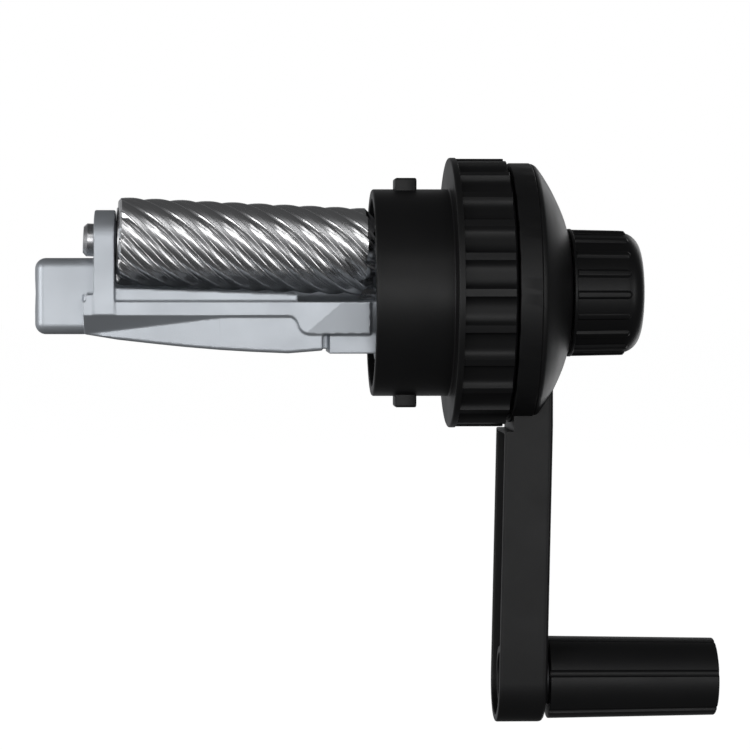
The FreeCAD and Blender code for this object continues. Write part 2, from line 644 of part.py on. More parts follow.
def cutter_carrier():
    """The casting: nose, trough, rail, post, neck through the gear and rear flange."""
    body = nose().fuse([trough(), apron(), rail(), post()])
    pencil = turned(
        (nose_x0 - 1, 0),
        (nose_x0 - 1, PENCIL_BORE_R + 2),
        (nose_x0, PENCIL_BORE_R + 1),
        (nose_x0 + 1, PENCIL_BORE_R),
        (cutter_front_x, PENCIL_BORE_R),
        (point_x, cone_radius(point_x) + CONE_BORE_CLEAR),
        (point_x, 0),
    )
    rod_way = cylinder(point_x - 1, shaft_x0 + 1, STOP_ROD_R + RUN_FIT + PRESS_GAP)
    shaft_socket = cylinder(shaft_x0, flange_x1 + 1, socket_r + PRESS_GAP)
    swing = on_cutter_axis(cylinder(0, (cutter_s1 + pinion_s0) / 2, CUTTER_R + CUTTER_CLEARANCE))
    pocket_r = pinion_pitch_r + ADDENDUM + PINION_POCKET_GAP
    pocket = on_cutter_axis(cylinder(cutter_s1 - 1, boss_s0 + 0.4, pocket_r))
    axle_way = on_cutter_axis(cylinder(-6, along_axis(axle_rear_x), AXLE_R + PRESS_GAP))
    slit = block(nose_x1 - SLIT_WIDTH, nose_x1, 2 * rail_face_y, -PENCIL_BORE_R,
                 RAIL_TOP - RAIL_THICKNESS - 1, RAIL_TOP + 1)
    boss = on_cutter_axis(cylinder(boss_s0, boss_s0 + 2, FLANGE_BOSS_R))
    for space in (pencil, rod_way, swing, pocket, slit):
        body = body.cut(space)
    body = body.fuse(boss)
    for space in (shaft_socket, axle_way, set_screw_way()):
        body = body.cut(space)
    return body.removeSplitter()


def set_screw_axis():
    """Start and direction of the set screw that holds the axle, from the flange's rim."""
    middle = axis_at((flange_x0 + flange_x1) / 2)
    outward = V(0, middle.y, middle.z).normalize()
    return middle, outward


def set_screw_way():
    middle, outward = set_screw_axis()
    return Part.makeCylinder(SET_SCREW_R + PRESS_GAP, neck_r, middle, outward)


def axle_set_screw():
    """Headless screw through the flange's rim, on the axle."""
    middle, outward = set_screw_axis()
    radius = math.hypot(middle.y, middle.z)
    start = middle.add(V(outward).multiply(AXLE_R + RUN_FIT))
    length = neck_r - MOVE_GAP - radius - AXLE_R
    screw = Part.makeCylinder(SET_SCREW_R, length, start, outward)
    slot = Part.makeBox(1, 0.4, 4 * SET_SCREW_R, V(-0.5, -0.2, -2 * SET_SCREW_R))
    slot.Placement = FreeCAD.Placement(start.add(V(outward).multiply(length)),
                                       FreeCAD.Rotation(X_AXIS, outward)).multiply(
                                           slot.Placement)
    return screw.cut(slot)


def cutter_axle():
    """Headed pin that the cutter turns on."""
    head_s1 = along_axis(post_x0)
    rod = cylinder(head_s1, along_axis(axle_rear_x), AXLE_R)
    head = cylinder(head_s1 - AXLE_HEAD_H, head_s1, AXLE_HEAD_R)
    rim = [edge for edge in head.Edges if abs(edge.BoundBox.XMax - head_s1) > 0.1
           and edge.BoundBox.XLength < 0.1]
    return on_cutter_axis(rod.fuse(head.makeChamfer(0.5, rim)))


def cutter_washers():
    inner = AXLE_R + RUN_FIT
    front = tube(washer_s0, washer_s0 + WASHER_T, WASHER_R, inner)
    rear = tube(rear_washer_s0, rear_washer_s0 + WASHER_T, FLANGE_BOSS_R, inner)
    return on_cutter_axis(front), on_cutter_axis(rear)


def drive_shaft():
    """Hollow shaft from the carrier's flange, through the bush, to the crank's nut."""
    body = turned(
        (shaft_x0, 0),
        (shaft_x0, socket_r),
        (flange_x1, socket_r),
        (flange_x1, SHAFT_SHOULDER_R),
        (shoulder_x1, SHAFT_SHOULDER_R),
        (shoulder_x1, SHAFT_R),
        (shaft_step_x, SHAFT_R),
        (shaft_step_x, SHAFT_STUD_R),
        (shaft_x1, SHAFT_STUD_R),
        (shaft_x1, 0),
    )
    bore = cylinder(shaft_x0 - 1, end_wall_x, SHAFT_BORE_R)
    screw_way = cylinder(end_wall_x - 1, shaft_x1 + 1, ADJUST_SCREW_R + RUN_FIT)
    flat = block(shaft_step_x, hub_x1, SHAFT_FLAT, SHAFT_R, -SHAFT_R, SHAFT_R)
    key_way = Part.makeCylinder(KEY_R + PRESS_GAP, 2 * SHAFT_R, V(key_x, 0, 0), V(0, 0, 1))
    return body.cut([bore, screw_way, flat, key_way])


def crank_nut():
    """Hexagon nut that clamps the crank on the shaft."""
    return hexagon(hub_x1, hub_x1 + NUT_T, NUT_FLATS).cut(
        cylinder(hub_x1 - 1, shaft_x1, SHAFT_STUD_R + PRESS_GAP))


# --- Cutter ---------------------------------------------------------------------------
def helical_cutter():
    """Fluted steel cutter, a twisted star of shallow flutes, with a spigot for the pinion."""
    bore = cylinder(-1, pinion_s1 + 1, sleeve_r + PRESS_GAP)
    twist = 2 * math.pi * cutter_length / CUTTER_LEAD
    root_r = CUTTER_R - CUTTER_FLUTE_DEPTH
    edges = []
    step = 2 * math.pi / CUTTER_FLUTES
    land = 0.3 * step

    def at(r, angle):
        return V(0, r * math.cos(angle), r * math.sin(angle))

    for k in range(CUTTER_FLUTES):
        start = k * step
        edges.append(Part.Arc(at(CUTTER_R, start), at(CUTTER_R, start + land / 2),
                              at(CUTTER_R, start + land)).toShape())
        edges.append(Part.Arc(at(CUTTER_R, start + land),
                              at(root_r, start + (land + step) / 2),
                              at(CUTTER_R, start + step)).toShape())
    spine = Part.Wire(Part.makeLine(V(0, 0, 0), V(cutter_length, 0, 0)))
    helix = Part.makeHelix(CUTTER_LEAD, cutter_length, CUTTER_R)
    helix.rotate(V(0, 0, 0), V(0, 1, 0), 90)
    sweep = Part.BRepOffsetAPI.MakePipeShell(spine)
    sweep.setAuxiliarySpine(Part.Wire(helix), True, 0)
    sweep.add(Part.Wire(edges))
    sweep.build()
    sweep.makeSolid()
    over = 0.1            # the chamfers start just outside the flutes' crests
    chamfered = turned(
        (-1, 0),
        (-1, CUTTER_R - CUTTER_FRONT_CHAMFER),
        (0, CUTTER_R - CUTTER_FRONT_CHAMFER),
        (CUTTER_FRONT_CHAMFER + over, CUTTER_R + over),
        (cutter_length - CUTTER_CHAMFER - over, CUTTER_R + over),
        (cutter_length, CUTTER_R - CUTTER_CHAMFER),
        (cutter_length + 1, CUTTER_R - CUTTER_CHAMFER),
        (cutter_length + 1, 0),
    )
    body = sweep.shape().common(chamfered)
    body.translate(V(cutter_s0, 0, 0))
    spigot = cylinder(cutter_s1 - 1, pinion_s1, spigot_r)
    return on_cutter_axis(body.fuse(spigot).cut(bore))


def cutter_sleeve():
    """Bronze sleeve between the cutter and its axle."""
    return on_cutter_axis(tube(cutter_s0, pinion_s1, sleeve_r, AXLE_R + RUN_FIT))


def cutter_pinion():
    """Pinion pressed on the cutter's spigot, one tooth pointing into the ring gear."""
    outline = gear_face(PINION_TEETH, pinion_pitch_r, pinion_pitch_r - DEDENDUM,
                        pinion_pitch_r + ADDENDUM, (circular_pitch - BACKLASH) / 2, mesh_angle)
    body = outline.extrude(V(PINION_FACE, 0, 0))
    body.translate(V(pinion_s0, 0, 0))
    hub = cylinder(cutter_s1, pinion_s0, pinion_pitch_r - DEDENDUM - 0.3)
    return on_cutter_axis(body.fuse(hub).cut(cylinder(0, pinion_s1 + 1, spigot_r + PRESS_GAP)))


# --- Point stop -----------------------------------------------------------------------
def point_stop():
    """Rod that the pencil's point meets, with a sliding nut in the hollow shaft."""
    stop_tip_x = point_x - MOVE_GAP
    rod = cylinder(stop_tip_x, stop_nut_x0 + 0.5, STOP_ROD_R)
    nut = cylinder(stop_nut_x0, stop_nut_x1, stop_nut_r)
    bore = cylinder(adjust_screw_x0 - MOVE_GAP, stop_nut_x1 + 1, ADJUST_SCREW_R + RUN_FIT)
    slot = block(stop_nut_x0 - 1, stop_nut_x1 + 1, -KEY_R - 0.1, KEY_R + 0.1,
                 ADJUST_SCREW_R + 0.5, SHAFT_R)
    beside_cutter = about_axis(
        block(stop_tip_x - 1, stop_tip_x + STOP_TRAVEL + 1, STOP_TIP_FLAT, SHAFT_R,
              -SHAFT_R, SHAFT_R), CUTTER_REAR_ANGLE)
    return rod.fuse(nut).cut([bore, slot, beside_cutter])


def stop_key():
    """Pin through the shaft's wall that keeps the sliding nut from turning."""
    return Part.makeCylinder(KEY_R, SHAFT_R - RUN_FIT - ADJUST_SCREW_R - 0.7,
                             V(key_x, 0, ADJUST_SCREW_R + 0.65), V(0, 0, 1))


def stop_spring():
    """Spring between the flange and the sliding nut, which takes up the screw's play."""
    radius = (STOP_ROD_R + stop_nut_r) / 2
    return coil(shaft_x0 + RUN_FIT, stop_nut_x0 - RUN_FIT, radius, STOP_SPRING_WIRE / 2,
                STOP_SPRING_TURNS)


def adjust_screw():
    """Screw that the knob turns; its collar bears on the shaft's end wall."""
    rod = cylinder(adjust_screw_x0, core_x0, ADJUST_SCREW_R)
    collar_x1 = end_wall_x - 2 * RUN_FIT
    collar = cylinder(collar_x1 - ADJUST_COLLAR_T, collar_x1, ADJUST_COLLAR_R)
    core = cylinder(core_x0, core_x0 + KNOB_CORE_LENGTH, KNOB_CORE_R)
    return rod.fuse([collar, core])


# --- Crank ----------------------------------------------------------------------------
def arm_outline(x, inset, top_z):
    """Outline of the arm in a plane across X: straight sides and a round lower end."""
    half = ARM_HALF_WIDTH - inset
    edges = [
        Part.makeLine(V(x, half, -CRANK_RADIUS), V(x, half, top_z)),
        Part.makeLine(V(x, half, top_z), V(x, -half, top_z)),
        Part.makeLine(V(x, -half, top_z), V(x, -half, -CRANK_RADIUS)),
        Part.Arc(V(x, -half, -CRANK_RADIUS), V(x, 0, -CRANK_RADIUS - half),
                 V(x, half, -CRANK_RADIUS)).toShape(),
    ]
    return Part.Face(Part.Wire(edges))


def arm():
    """Crank arm, a hollow moulding that is open towards the barrel."""
    right_x = arm_x0 + ARM_THICKNESS
    body = arm_outline(arm_x0, 0, ARM_TOP_Z).extrude(V(ARM_THICKNESS, 0, 0))
    outer_edges = [edge for edge in body.Edges
                   if edge.BoundBox.XMin > right_x - 0.01 and edge.BoundBox.ZMin < ARM_TOP_Z - 1]
    body = body.makeFillet(ARM_ROUND, outer_edges)
    channel_top = -(band_r + 2 * ARM_RIM)
    channel = arm_outline(arm_x0 - 1, ARM_RIM, channel_top).extrude(
        V(1 + ARM_THICKNESS - ARM_WEB, 0, 0))
    span = (CRANK_RADIUS + channel_top) / (ARM_RIBS + 1)
    ribs = [block(arm_x0 + 1, right_x - ARM_WEB, -ARM_HALF_WIDTH, ARM_HALF_WIDTH,
                  channel_top - (k + 1) * span, channel_top - (k + 1) * span + ARM_RIB_T)
            for k in range(ARM_RIBS)]
    pin_boss = cylinder(arm_x0 + ARM_RIM / 2, right_x - ARM_WEB, BOSS_R, z=-CRANK_RADIUS)
    body = body.cut(channel.cut(ribs + [pin_boss]))
    body.rotate(V(arm_x0, 0, -band_r), V(0, 1, 0), ARM_LEAN)
    return body


def crank():
    """Disc, dome, hub and arm of the crank, one moulding."""
    rim_x = disc_edge_x + RIM_ROUND * 0.93
    shoulder_r = disc_r - RIM_ROUND
    dome_mid_x = rim_x + DOME_CROWN * (dome_x1 - rim_x)
    dome_mid_r = (shoulder_r + KNOB_COLLAR_R) / 2
    outside = turned(
        (disc_x0, 0),
        (disc_x0, disc_r),
        (disc_edge_x, disc_r - DISC_DRAFT),
        ((rim_x - RIM_ROUND * 0.36, disc_r - 0.39 * RIM_ROUND), (rim_x, shoulder_r)),
        ((dome_mid_x, dome_mid_r), (dome_x1, KNOB_COLLAR_R)),
        (dome_x1 - DISH_LIP, KNOB_COLLAR_R - DISH_LIP),
        (dish_floor_x, KNOB_COLLAR_R - DISH_LIP),
        (dish_floor_x, 0),
    )
    inside_r = disc_r - DOME_SHELL
    hub_top_r = ball_track_r + BALL_R + BALL_WALL
    hub_top_x = ball_x - BALL_R - BALL_SPRING_LENGTH - DOME_SHELL
    inside = turned(
        (disc_x0 - 1, HUB_R),
        (disc_x0 - 1, inside_r),
        (disc_edge_x - DOME_SHELL / 2, inside_r),
        (dome_mid_x - 1.6 * DOME_SHELL, dome_mid_r),
        (dome_mid_x - DOME_SHELL, hub_top_r + 1),
        (dome_mid_x - DOME_SHELL, hub_top_r),
        (hub_top_x, hub_top_r),
        (hub_top_x, HUB_R),
    )
    ring_room = tube(-1, disc_x0, band_r + 2, 1).cut(tube(-2, disc_x0 + 1, band_r + 3,
                                                          band_r + 0.4))
    boss = cylinder(arm_pin_x0 + ARM_THICKNESS - 1, boss_face_x, BOSS_R, z=-CRANK_RADIUS)
    hub = cylinder(shaft_step_x, hub_x1, HUB_R)
    body = outside.fuse([arm(), boss]).cut([inside, ring_room]).fuse(hub)
    nut_room = cylinder(hub_x1, dome_x1, nut_corner_r + MOVE_GAP)
    stud_way = cylinder(0, dome_x1, SHAFT_STUD_R + PRESS_GAP).cut(
        block(0, dome_x1, SHAFT_FLAT + PRESS_GAP, SHAFT_R, -SHAFT_R, SHAFT_R))
    ball_way = cylinder(ball_x - BALL_R - BALL_SPRING_LENGTH - 2 * RUN_FIT, dome_x1,
                        BALL_R + RUN_FIT, z=ball_track_r)
    pin_way = cylinder(0, boss_face_x + 1, BOLT_R + PRESS_GAP, z=-CRANK_RADIUS)
    nut_pocket = hexagon(0, bolt_x0 + GRIP_NUT_T + RUN_FIT, GRIP_NUT_FLATS + 2 * PRESS_GAP)
    nut_pocket.translate(V(0, 0, -CRANK_RADIUS))
    return body.cut([nut_room, stud_way, ball_way, pin_way, nut_pocket]).removeSplitter()


def click_spring():
    """Spring that presses the click ball against the knob."""
    spring_x1 = ball_x - BALL_R - RUN_FIT
    spring = coil(spring_x1 - BALL_SPRING_LENGTH, spring_x1, BALL_R - 0.35,
                  BALL_SPRING_WIRE / 2, BALL_SPRING_TURNS)
    spring.translate(V(0, 0, ball_track_r))
    return spring


def click_ball():
    return Part.makeSphere(BALL_R, V(ball_x, 0, ball_track_r))


# --- Knob -----------------------------------------------------------------------------
def adjust_knob():
    """Ribbed knob that sets the point, moulded round the screw's knurled end."""
    body = turned(
        (knob_x0, 0),
        (knob_x0, KNOB_COLLAR_R),
        (knob_x0 + KNOB_COLLAR_T, KNOB_COLLAR_R),
        (knob_x0 + KNOB_COLLAR_T, KNOB_R),
        (knob_x1 - KNOB_ROUND, KNOB_END_R),
        ((knob_x1 - KNOB_ROUND * (1 - math.sqrt(0.5)),
          KNOB_END_R - KNOB_ROUND * (1 - math.sqrt(0.5))),
         (knob_x1 - KNOB_CROWN, KNOB_END_R - KNOB_ROUND)),
        (knob_x1, 0),
    )
    rib_r = KNOB_R + KNOB_RIB_OUT - KNOB_RIB_R
    rib_x1 = knob_x0 + KNOB_COLLAR_T + KNOB_RIB_LENGTH
    rib = cylinder(knob_x0 + KNOB_COLLAR_T / 2, rib_x1, KNOB_RIB_R, y=rib_r)
    rib = rib.fuse(Part.makeSphere(KNOB_RIB_R, V(rib_x1, rib_r, 0)))
    body = body.fuse(pattern(rib, KNOB_RIBS, start=KNOB_RIB_ANGLE))
    screw_way = cylinder(knob_x0 - 1, core_x0, ADJUST_SCREW_R)
    core_way = cylinder(core_x0, core_x0 + KNOB_CORE_LENGTH, KNOB_CORE_R)
    track = Part.makeTorus(ball_track_r, BALL_R + RUN_FIT, V(ball_x, 0, 0), X_AXIS)
    return body.cut([screw_way, core_way, track]).removeSplitter()


# --- Handle grip ----------------------------------------------------------------------
def handle_grip():
    """Tapered grip with shallow grooves, free to turn on its shoulder bolt."""
    length = grip_x1 - grip_x0
    body = Part.makeCone(GRIP_R0, GRIP_R1, length, V(grip_x0, 0, 0), X_AXIS)
    rims = [edge for edge in body.Edges if edge.BoundBox.XLength < 0.1]
    body = body.makeFillet(GRIP_ROUND, rims)
    groove = cylinder(grip_x0 - 1, grip_x1 + 1, 2 * GRIP_GROOVE_DEPTH, y=GRIP_R0)
    taper = math.degrees(math.atan((GRIP_R0 - GRIP_R1) / length))
    groove.rotate(V(grip_x0, GRIP_R0, 0), V(0, 0, 1), -taper)
    groove.translate(V(0, GRIP_GROOVE_DEPTH, 0))
    body = body.cut(pattern(groove, GRIP_GROOVES, start=GRIP_GROOVE_ANGLE))
    bolt_way = cylinder(grip_x0 - 1, grip_x1 + 1, BOLT_R + RUN_FIT)
    head_way = cylinder(bolt_head_x0 - RUN_FIT, grip_x1 + 1, BOLT_HEAD_R + MOVE_GAP)
    body = body.cut([bolt_way, head_way])
    body.translate(V(0, 0, -CRANK_RADIUS))
    return body


def grip_bolt():
    """Shoulder bolt through the grip, screwed into the arm."""
    shank = cylinder(bolt_x0, bolt_head_x0, BOLT_R)
    head = cylinder(bolt_head_x0, bolt_head_x0 + BOLT_HEAD_H, BOLT_HEAD_R)
    slot = block(bolt_head_x0 + BOLT_HEAD_H - BOLT_SLOT, bolt_head_x0 + BOLT_HEAD_H + 1,
                 -BOLT_HEAD_R, BOLT_HEAD_R, -BOLT_SLOT / 2, BOLT_SLOT / 2)
    bolt = shank.fuse(head).cut(slot)
    bolt.translate(V(0, 0, -CRANK_RADIUS))
    return bolt


def grip_washer():
    """Washer between the arm's boss and the turning grip."""
    washer = tube(boss_face_x, boss_face_x + GRIP_WASHER_T, GRIP_WASHER_R, BOLT_R + PRESS_GAP)
    washer.translate(V(0, 0, -CRANK_RADIUS))
    return washer


def grip_nut():
    """Hexagon nut in the pocket on the arm's hollow side."""
    nut = hexagon(bolt_x0, bolt_x0 + GRIP_NUT_T, GRIP_NUT_FLATS).cut(
        cylinder(0, bolt_x0 + 5, BOLT_R + PRESS_GAP))
    nut.translate(V(0, 0, -CRANK_RADIUS))
    return nut


# --- One STEP file per node -----------------------------------------------------------
os.makedirs("parts", exist_ok=True)
save("barrel_housing", barrel_housing())
save("ring_gear", ring_gear())
save("bearing_plate", bearing_plate())
save("plate_screws", *plate_screws())
save("shaft_bush", shaft_bush())
save("cutter_carrier", cutter_carrier())
save("cutter_axle", cutter_axle())
save("axle_set_screw", axle_set_screw())
save("cutter_washers", *cutter_washers())
save("drive_shaft", drive_shaft())
save("crank_nut", crank_nut())
save("crank", crank())
save("click_spring", click_spring())
save("click_ball", click_ball())
save("grip_bolt", grip_bolt())
save("grip_nut", grip_nut())
save("grip_washer", grip_washer())
save("helical_cutter", helical_cutter())
save("cutter_sleeve", cutter_sleeve())
save("cutter_pinion", cutter_pinion())
save("stop_key", stop_key())
save("point_stop", point_stop())
save("stop_spring", stop_spring())
save("adjust_screw", adjust_screw())
save("adjust_knob", adjust_knob())
save("handle_grip", handle_grip())
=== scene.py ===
# %% [markdown]
# # The crank and cutter unit of a desk pencil sharpener
#
# The unit is what twists out of the sharpener's case: a black barrel with a ribbed grip
# ring, a light metal carrier that holds a helical steel cutter over the pencil, a domed
# crank with a turning handle, and a ribbed knob that sets the length of the point.
#
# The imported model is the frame. It fixes every place and every size, so this file only
# shapes the visible surfaces more finely and gives each of them a finish.

# %% Load the frame
import json
import math

import bmesh
import bpy
from mathutils import Matrix, Vector


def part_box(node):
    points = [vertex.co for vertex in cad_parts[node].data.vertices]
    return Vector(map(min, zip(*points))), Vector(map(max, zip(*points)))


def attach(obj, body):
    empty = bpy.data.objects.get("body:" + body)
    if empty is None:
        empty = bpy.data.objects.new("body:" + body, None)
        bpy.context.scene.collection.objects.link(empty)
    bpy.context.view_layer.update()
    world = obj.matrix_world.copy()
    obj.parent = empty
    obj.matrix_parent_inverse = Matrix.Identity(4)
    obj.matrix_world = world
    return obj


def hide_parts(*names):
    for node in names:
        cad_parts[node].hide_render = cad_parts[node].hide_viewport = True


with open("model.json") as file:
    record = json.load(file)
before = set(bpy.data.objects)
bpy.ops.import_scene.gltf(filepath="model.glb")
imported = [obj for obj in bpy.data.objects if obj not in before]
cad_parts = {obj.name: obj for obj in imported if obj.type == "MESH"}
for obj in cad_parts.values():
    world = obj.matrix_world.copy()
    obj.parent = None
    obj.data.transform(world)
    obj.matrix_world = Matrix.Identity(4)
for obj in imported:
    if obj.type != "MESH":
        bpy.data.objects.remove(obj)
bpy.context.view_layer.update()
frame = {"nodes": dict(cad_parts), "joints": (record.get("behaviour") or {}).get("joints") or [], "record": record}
MM = 0.001

# %% [markdown]
# ## Camera, light and floor
#
# The unit is seen almost level, from the side that shows the cutter. A long lens keeps its
# rings almost edge-on. The camera stands left of the middle, so the left faces of the rings
# just show. A small turn and a small shift, half of each, bring the whole unit into the
# frame. A turn alone would make its level lines run together a little, and a shift alone
# would push the unit off centre when the camera goes round it.

# %% Camera
CAMERA_PLACE = (-0.0318, -0.3776, 0.00007)
TILT, TURN = math.radians(89.07), math.radians(-1.58)
camera = bpy.data.objects.new("camera", bpy.data.cameras.new("camera"))
bpy.context.scene.collection.objects.link(camera)
camera.location = CAMERA_PLACE
camera.rotation_euler = (TILT, 0, TURN)
camera.data.lens = 121.7
camera.data.sensor_width = 36
camera.data.shift_x = 0.0945
camera.data.shift_y = -0.0555
camera.data.clip_start = 0.01
bpy.context.scene.camera = camera
bpy.context.scene.view_settings.view_transform = "Standard"
print("lens", camera.data.lens, "mm")

# %% [markdown]
# Round black plastic shows only what it reflects, so the light is what draws it. A wide
# soft box stands behind the camera, one stands on each side of it, a tall one stands behind
# the unit on the right, and only a faint one hangs above. That leaves the tops and
# undersides dark, with a dark line wherever a surface turns from one box to the next.
#
# The room is a dim band at eye level that fades upwards, downwards and towards the knob's
# side. The camera itself sees plain white. The floor is a pale disc with some light of its
# own, so that it meets the white behind it without a line, and it stays out of reflections.

# %% Soft boxes
AIM = Vector((-0.01, 0, -0.01))


def soft_box(name, place, size, power):
    """A rectangular area light that faces the middle of the unit and isn't seen itself."""
    data = bpy.data.lights.new(name, "AREA")
    data.shape = "RECTANGLE"
    data.size, data.size_y = size
    data.energy = power
    box = bpy.data.objects.new(name, data)
    bpy.context.scene.collection.objects.link(box)
    box.location = place
    box.rotation_euler = (AIM - Vector(place)).to_track_quat("-Z", "Y").to_euler()
    box.visible_camera = False
    return box


soft_box("front_box", (-0.10, -1.05, 0.03), (0.9, 0.42), 2.6)
soft_box("left_box", (-0.90, -0.55, 0.10), (0.5, 0.5), 3.0)
soft_box("fill_box", (0.80, -0.72, 0.0), (0.30, 0.60), 1.6)
soft_box("right_box", (0.55, 0.85, 0.0), (0.35, 1.3), 1.8)
soft_box("top_box", (-0.06, -0.78, 0.46), (0.34, 0.24), 0.45)

# %% Surroundings
def smooth_range(tree, low, high, at_low, at_high):
    """A level that changes smoothly between two limits of its input."""
    made = tree.nodes.new("ShaderNodeMapRange")
    made.interpolation_type = "SMOOTHSTEP"
    made.inputs["From Min"].default_value = low
    made.inputs["From Max"].default_value = high
    made.inputs["To Min"].default_value = at_low
    made.inputs["To Max"].default_value = at_high
    return made


world = bpy.data.worlds.new("studio")
bpy.context.scene.world = world
world.use_nodes = True
tree = world.node_tree
tree.nodes.clear()
direction = tree.nodes.new("ShaderNodeTexCoord")
split = tree.nodes.new("ShaderNodeSeparateXYZ")
height = tree.nodes.new("ShaderNodeMath")
height.operation = "ABSOLUTE"
band = smooth_range(tree, 0.15, 0.75, 0.40, 0.08)
side = smooth_range(tree, 0.70, 0.92, 1.0, 0.26)
level = tree.nodes.new("ShaderNodeMath")
level.operation = "MULTIPLY"
room = tree.nodes.new("ShaderNodeBackground")
room.inputs["Color"].default_value = (0.97, 0.98, 1.0, 1)
paper = tree.nodes.new("ShaderNodeBackground")
paper.inputs["Color"].default_value = (1, 1, 1, 1)
eye = tree.nodes.new("ShaderNodeLightPath")
choose = tree.nodes.new("ShaderNodeMixShader")
out = tree.nodes.new("ShaderNodeOutputWorld")
for start, end in (
    (direction.outputs["Generated"], split.inputs[0]),
    (split.outputs["Z"], height.inputs[0]),
    (height.outputs[0], band.inputs["Value"]),
    (split.outputs["X"], side.inputs["Value"]),
    (band.outputs[0], level.inputs[0]),
    (side.outputs[0], level.inputs[1]),
    (level.outputs[0], room.inputs["Strength"]),
    (eye.outputs["Is Camera Ray"], choose.inputs[0]),
    (room.outputs[0], choose.inputs[1]),
    (paper.outputs[0], choose.inputs[2]),
    (choose.outputs[0], out.inputs["Surface"]),
):
    tree.links.new(start, end)
print("surroundings ready")

# %% Floor
FLOOR_Z, FLOOR_R = -0.090, 6.0
floor_mesh = bpy.data.meshes.new("floor")
floor = bpy.data.objects.new("floor", floor_mesh)
bpy.context.scene.collection.objects.link(floor)
shape = bmesh.new()
bmesh.ops.create_circle(shape, cap_ends=True, radius=FLOOR_R, segments=96,
                        matrix=Matrix.Translation((0, 0, FLOOR_Z)))
shape.to_mesh(floor_mesh)
shape.free()
pale = bpy.data.materials.new("pale_floor")
pale.use_nodes = True
pale_shader = pale.node_tree.nodes["Principled BSDF"]
pale_shader.inputs["Base Color"].default_value = (0.20, 0.20, 0.20, 1)
pale_shader.inputs["Roughness"].default_value = 0.9
pale_shader.inputs["Specular IOR Level"].default_value = 0.0
pale_shader.inputs["Emission Color"].default_value = (1, 1, 1, 1)
pale_shader.inputs["Emission Strength"].default_value = 0.97
floor_mesh.materials.append(pale)
floor.visible_glossy = False
floor.visible_diffuse = False
print("floor at", FLOOR_Z)

# %% [markdown]
# ## Finishes
#
# Four effects are shared by several finishes, so each is a node group with named inputs:
# the fine grain of a moulding or a casting, slow changes of gloss from handling, brighter
# worn edges, and the fine lines that a lathe or a grinding wheel leaves. A group only
# gives out masks and heights. Each material keeps its own shader.

# %% Node helpers
def add(tree, kind, values=None, **settings):
    """Add a node. A value is a number, a colour, or another node's output to link."""
    made = tree.nodes.new(kind)
    for name, value in settings.items():
        setattr(made, name, value)
    for name, value in (values or {}).items():
        socket = made.inputs[name]
        if isinstance(value, bpy.types.NodeSocket):
            tree.links.new(value, socket)
        else:
            socket.default_value = value
    return made


def sums(tree, operation, *values, clamp=False):
    """A Math node over numbers or outputs; gives its output."""
    made = add(tree, "ShaderNodeMath", dict(enumerate(values)), operation=operation)
    made.use_clamp = clamp
    return made.outputs[0]


def new_group(name, kind, inputs, outputs):
    """A node group with named sockets; gives the group and its inputs' and outputs' nodes."""
    group = bpy.data.node_groups.new(name, kind)
    for label, socket_type, value in inputs:
        socket = group.interface.new_socket(label, in_out="INPUT", socket_type=socket_type)
        if value is not None:
            socket.default_value = value
    for label, socket_type in outputs:
        group.interface.new_socket(label, in_out="OUTPUT", socket_type=socket_type)
    start = group.nodes.new("NodeGroupInput")
    end = group.nodes.new("NodeGroupOutput")
    return group, start.outputs, end.inputs


NUMBER, VECTOR = "NodeSocketFloat", "NodeSocketVector"
print("helpers ready")

# %% Grain
grain, given, result = new_group(
    "grain", "ShaderNodeTree",
    [("Vector", VECTOR, None), ("Grains per mm", NUMBER, 5.0), ("Unevenness", NUMBER, 0.5)],
    [("Height", NUMBER), ("Speckle", NUMBER)])
per_metre = sums(grain, "MULTIPLY", given["Grains per mm"], 1 / MM)
fine = add(grain, "ShaderNodeTexNoise",
           {"Vector": given["Vector"], "Scale": per_metre, "Detail": 2.0, "Roughness": 0.6})
coarse_scale = sums(grain, "MULTIPLY", per_metre, 0.22)
coarse = add(grain, "ShaderNodeTexNoise",
             {"Vector": given["Vector"], "Scale": coarse_scale, "Detail": 1.0})
uneven = sums(grain, "MULTIPLY", coarse.outputs["Fac"], given["Unevenness"])
height_sum = sums(grain, "ADD", fine.outputs["Fac"], uneven)
grain.links.new(height_sum, result["Height"])
grain.links.new(fine.outputs["Fac"], result["Speckle"])
print("group", grain.name)

# %% Handling marks
handling, given, result = new_group(
    "handling", "ShaderNodeTree",
    [("Vector", VECTOR, None), ("Patch size mm", NUMBER, 9.0)],
    [("Gloss change", NUMBER)])
patch = sums(handling, "DIVIDE", 1 / MM, given["Patch size mm"])
clouds = add(handling, "ShaderNodeTexNoise",
             {"Vector": given["Vector"], "Scale": patch, "Detail": 4.0, "Roughness": 0.62,
              "Distortion": 0.4})
spread = add(handling, "ShaderNodeMapRange",
             {"Value": clouds.outputs["Fac"], "From Min": 0.3, "From Max": 0.7,
              "To Min": -1.0, "To Max": 1.0})
handling.links.new(spread.outputs[0], result["Gloss change"])
print("group", handling.name)

